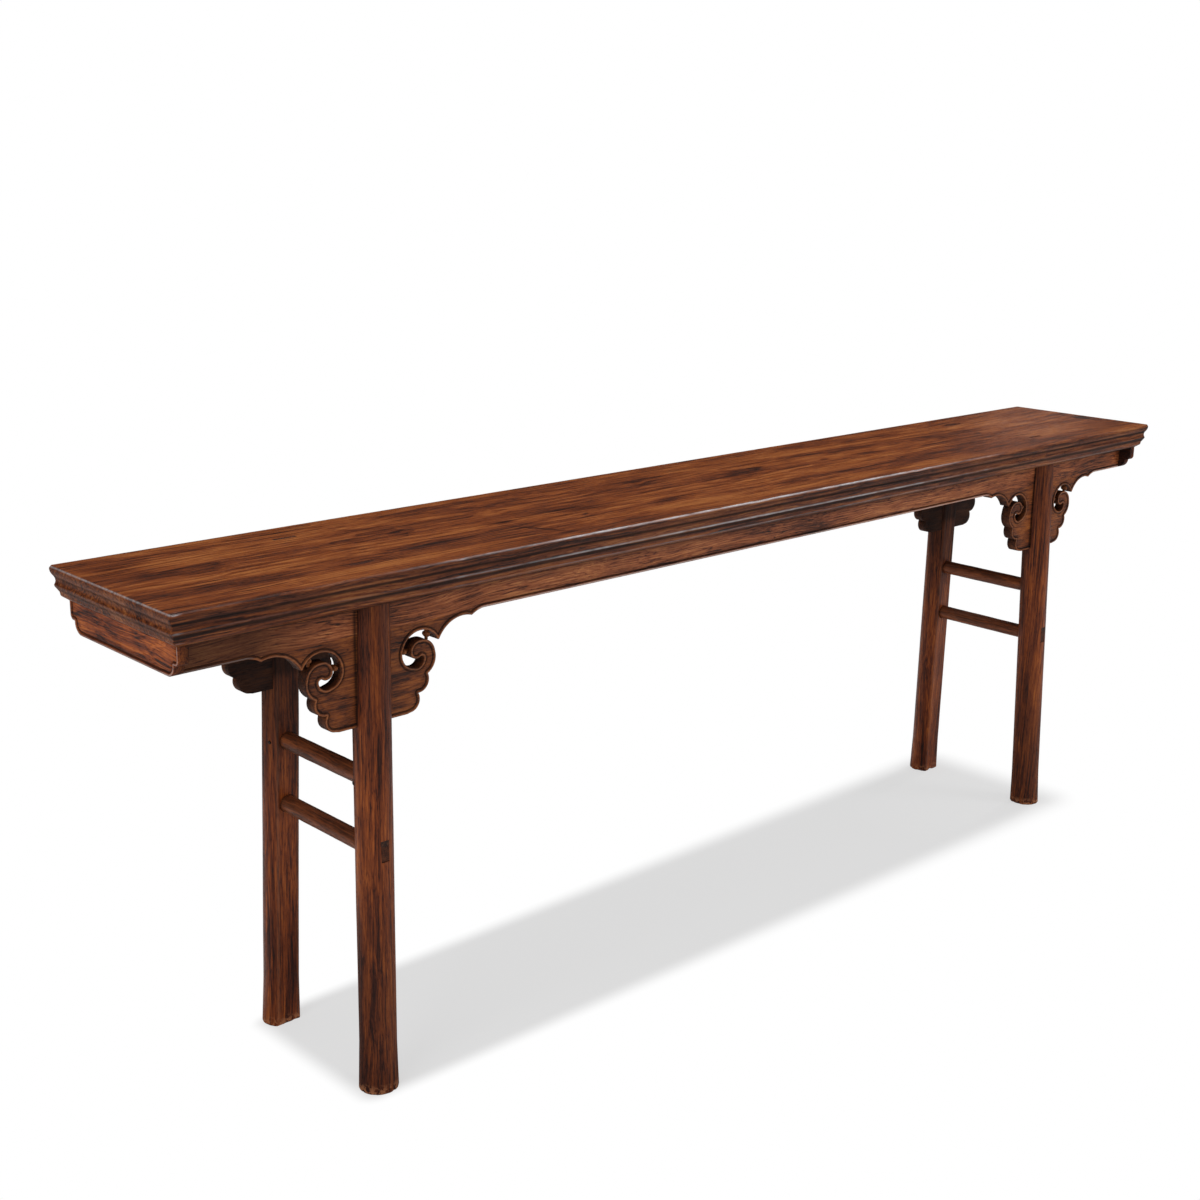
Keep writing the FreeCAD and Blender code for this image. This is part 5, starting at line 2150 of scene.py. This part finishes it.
@dataclass
class Studio:
    """The pale floor, the soft lamps and the camera."""

    # the camera's place and turns, and its lens in pixels of the photograph
    eye: tuple = (-2.3646339, -2.1769305, 1.5030747)
    yaw: float = 0.7536
    pitch: float = 0.2656
    roll: float = 0.0137
    focal_pixels: float = 1663.8
    image_pixels: float = 1200.0
    sensor: float = 36.0
    sight: float = 60.0
    lamps: tuple = (
        Lamp("strip_above", (-0.2, 0.0, 5.6), (-0.2, 0.0, 0.0), (2.4, 0.3), 110.0),
        Lamp("edge_strip", (2.4, 0.2, 4.2), (0.0, 0.0, 0.9), (3.4, 0.3), 40.0),
        Lamp("soft_left", (-3.9, -1.3, 1.9), (0.0, 0.0, 0.6), (1.8, 1.8), 36.0),
        Lamp("soft_right", (3.0, -3.4, 1.7), (0.2, 0.0, 0.5), (1.6, 1.6), 42.0),
        Lamp("far_glow", (4.44, 2.1, 1.48), (1.1, 0.0, 0.88), (0.5, 0.5), 0.5),
    )
    floor_reach: float = 14.0
    floor_level: float = -0.4 * MM
    paper: str = "#eeeeee"
    shaded_paper: str = "#949494"
    paper_lift: float = 0.61
    shadow_centre: tuple = (0.0, -0.008)
    shadow_half: tuple = (0.965, 0.153)
    shadow_fade: tuple = (0.09, 0.07)
    # how much softer the shadow's edge gets with each metre to the right
    softening: float = 0.45
    cloth: str = "#161413"
    curtain_radius: float = 6.5
    curtain_height: float = 6.5
    curtain_folds: int = 48
    soft_light: tuple = (0.98, 0.99, 1.0, 1.0)
    soft_strength: float = 0.25

    def camera(self) -> None:
        """Set the camera where the photograph was taken from."""
        level = math.cos(self.pitch)
        forward = Vector((math.sin(self.yaw) * level, math.cos(self.yaw) * level, -math.sin(self.pitch)))
        right = Vector((math.cos(self.yaw), -math.sin(self.yaw), 0.0))
        up = right.cross(forward)
        turned = right * math.cos(self.roll) + up * math.sin(self.roll)
        raised = up * math.cos(self.roll) - right * math.sin(self.roll)
        data = bpy.data.cameras.new("camera")
        data.sensor_width = self.sensor
        data.lens = self.sensor * self.focal_pixels / self.image_pixels
        data.clip_end = self.sight
        camera = new_object("camera", data)
        turn = Matrix((turned, raised, -forward)).transposed().to_4x4()
        camera.matrix_world = Matrix.Translation(self.eye) @ turn
        bpy.context.scene.camera = camera

    def fade(self, tree: Tree) -> Node:
        """How far each place of the floor lies outside the table's shadow.

        Args:
            tree: the floor's material tree.

        Returns:
            Nought in the shadow, one where the floor is pure white.
        """
        place = add_node(tree, "ShaderNodeTexCoord").outputs["Object"]
        centred = add_node(tree, VECTOR, place, (*self.shadow_centre, 0.0), operation="SUBTRACT")
        away = add_node(tree, VECTOR, centred, operation="ABSOLUTE")
        past = add_node(tree, VECTOR, away, (*self.shadow_half, 0.0), operation="SUBTRACT")
        outside = add_node(tree, VECTOR, past, (0, 0, 0), operation="MAXIMUM")
        shares = add_node(tree, VECTOR, outside, (*self.shadow_fade, 1.0), operation="DIVIDE")
        length = add_node(tree, VECTOR, shares, operation="LENGTH").outputs["Value"]
        along = add_node(tree, SPLIT, place)
        softness = add_node(tree, MATH, along, self.softening, 1.0, operation="MULTIPLY_ADD")
        reach = add_node(tree, MATH, length, softness, operation="DIVIDE")
        return add_node(tree, RANGE, reach, interpolation_type="SMOOTHSTEP")

    def floor(self) -> None:
        """Lay a white paper floor that keeps the table's shadow and runs out into pure white."""
        mesh = bpy.data.meshes.new("floor")
        reach = self.floor_reach
        corners = [(-reach, -reach, 0), (reach, -reach, 0), (reach, reach, 0), (-reach, reach, 0)]
        mesh.from_pydata(corners, [], [(0, 1, 2, 3)])
        floor = new_object("floor", mesh)
        floor.location.z = self.floor_level
        material = new_material("white_paper_sweep")
        tree = material.node_tree
        codes = (self.paper, self.shaded_paper)
        paper, shaded = (add_node(tree, "ShaderNodeBsdfDiffuse", srgb(code), 0.0) for code in codes)
        strengths = (self.paper_lift, 1.0)
        lift, white = (add_node(tree, "ShaderNodeEmission", WHITE, strength) for strength in strengths)
        both = add_node(tree, "ShaderNodeAddShader", shaded, lift)
        faded = add_node(tree, "ShaderNodeMixShader", self.fade(tree), both, white)
        rays = add_node(tree, "ShaderNodeLightPath").outputs
        seen = add_node(tree, "ShaderNodeMixShader", rays["Is Camera Ray"], paper, faded)
        add_node(tree, "ShaderNodeOutputMaterial", seen)
        mesh.materials.append(material)

    def curtain(self) -> None:
        """Hang a dark cloth round the set, out of the picture, so that polished wood mirrors a dim room."""
        mesh = bpy.data.meshes.new("curtain")
        count, radius = self.curtain_folds, self.curtain_radius
        turns = [math.tau * i / count for i in range(count)]
        ring = [(math.cos(turn) * radius, math.sin(turn) * radius) for turn in turns]
        points = [(x, y, z) for z in (0.0, self.curtain_height) for x, y in ring]
        mesh.from_pydata(points, [], between_rings(count))
        material = new_material("dark_studio_cloth")
        tree = material.node_tree
        named = {"Base Color": srgb(self.cloth), "Roughness": 0.9}
        cloth = add_node(tree, "ShaderNodeBsdfPrincipled", named=named)
        add_node(tree, "ShaderNodeOutputMaterial", cloth)
        mesh.materials.append(material)
        curtain = new_object("curtain", mesh)
        for kind in ("camera", "diffuse", "transmission", "volume_scatter", "shadow"):
            setattr(curtain, f"visible_{kind}", False)

    def world(self) -> None:
        """Surround the table with soft light and a white background."""
        world = bpy.data.worlds.new("studio")
        world.use_nodes = True
        tree = world.node_tree
        tree.nodes.clear()
        rays = add_node(tree, "ShaderNodeLightPath").outputs
        seen = rays["Is Camera Ray"]
        for kind in ("Is Glossy Ray", "Is Transmission Ray"):
            seen = add_node(tree, MATH, seen, rays[kind], operation="MAXIMUM")
        lights = ((self.soft_light, self.soft_strength), (WHITE, 1.0))
        soft, white = (add_node(tree, "ShaderNodeBackground", *light) for light in lights)
        both = add_node(tree, "ShaderNodeMixShader", seen, soft, white)
        add_node(tree, "ShaderNodeOutputWorld", both)
        bpy.context.scene.world = world

    def build(self) -> None:
        """Set up the camera, the lamps, the floor and the background."""
        self.camera()
        for lamp in self.lamps:
            lamp.hang()
        self.floor()
        self.curtain()
        self.world()
        bpy.context.scene.view_settings.view_transform = "Standard"


def dress_plugs() -> None:
    """Give the pegs and wedges, whose solids are right as they are, their dark end grain."""
    material = PLUG_WOOD.make()
    for name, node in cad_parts.items():
        if name.startswith(("peg_", "wedge_")):
            node.data.materials.clear()
            node.data.materials.append(material)


def main() -> None:
    """Build the studio and the table."""
    logging.basicConfig(level=logging.INFO, format="%(relativeCreated)d ms  %(message)s")
    Studio().build()
    legs = [Leg(face, side) for face in Face for side in Side]
    TopBoard().build(PLANK_WOOD.make(), legs)
    frame_wood = FRAME_WOOD.make()
    Aprons().build(frame_wood)
    EndBoards().build(END_WOOD.make())
    carved_wood = CARVED_WOOD.make()
    Spandrels().build(carved_wood)
    Pearls().build(carved_wood)
    leg_wood = LEG_WOOD.make()
    tree = Leg.tree()
    first_seed, seed_step = 1.3, 5.1
    for number, leg in enumerate(legs):
        leg.build(tree, leg_wood, first_seed + seed_step * number)
    Stretchers().build(BAR_WOOD.make(), legs)
    Battens().build(frame_wood)
    dress_plugs()


if __name__ == "__main__":
    main()
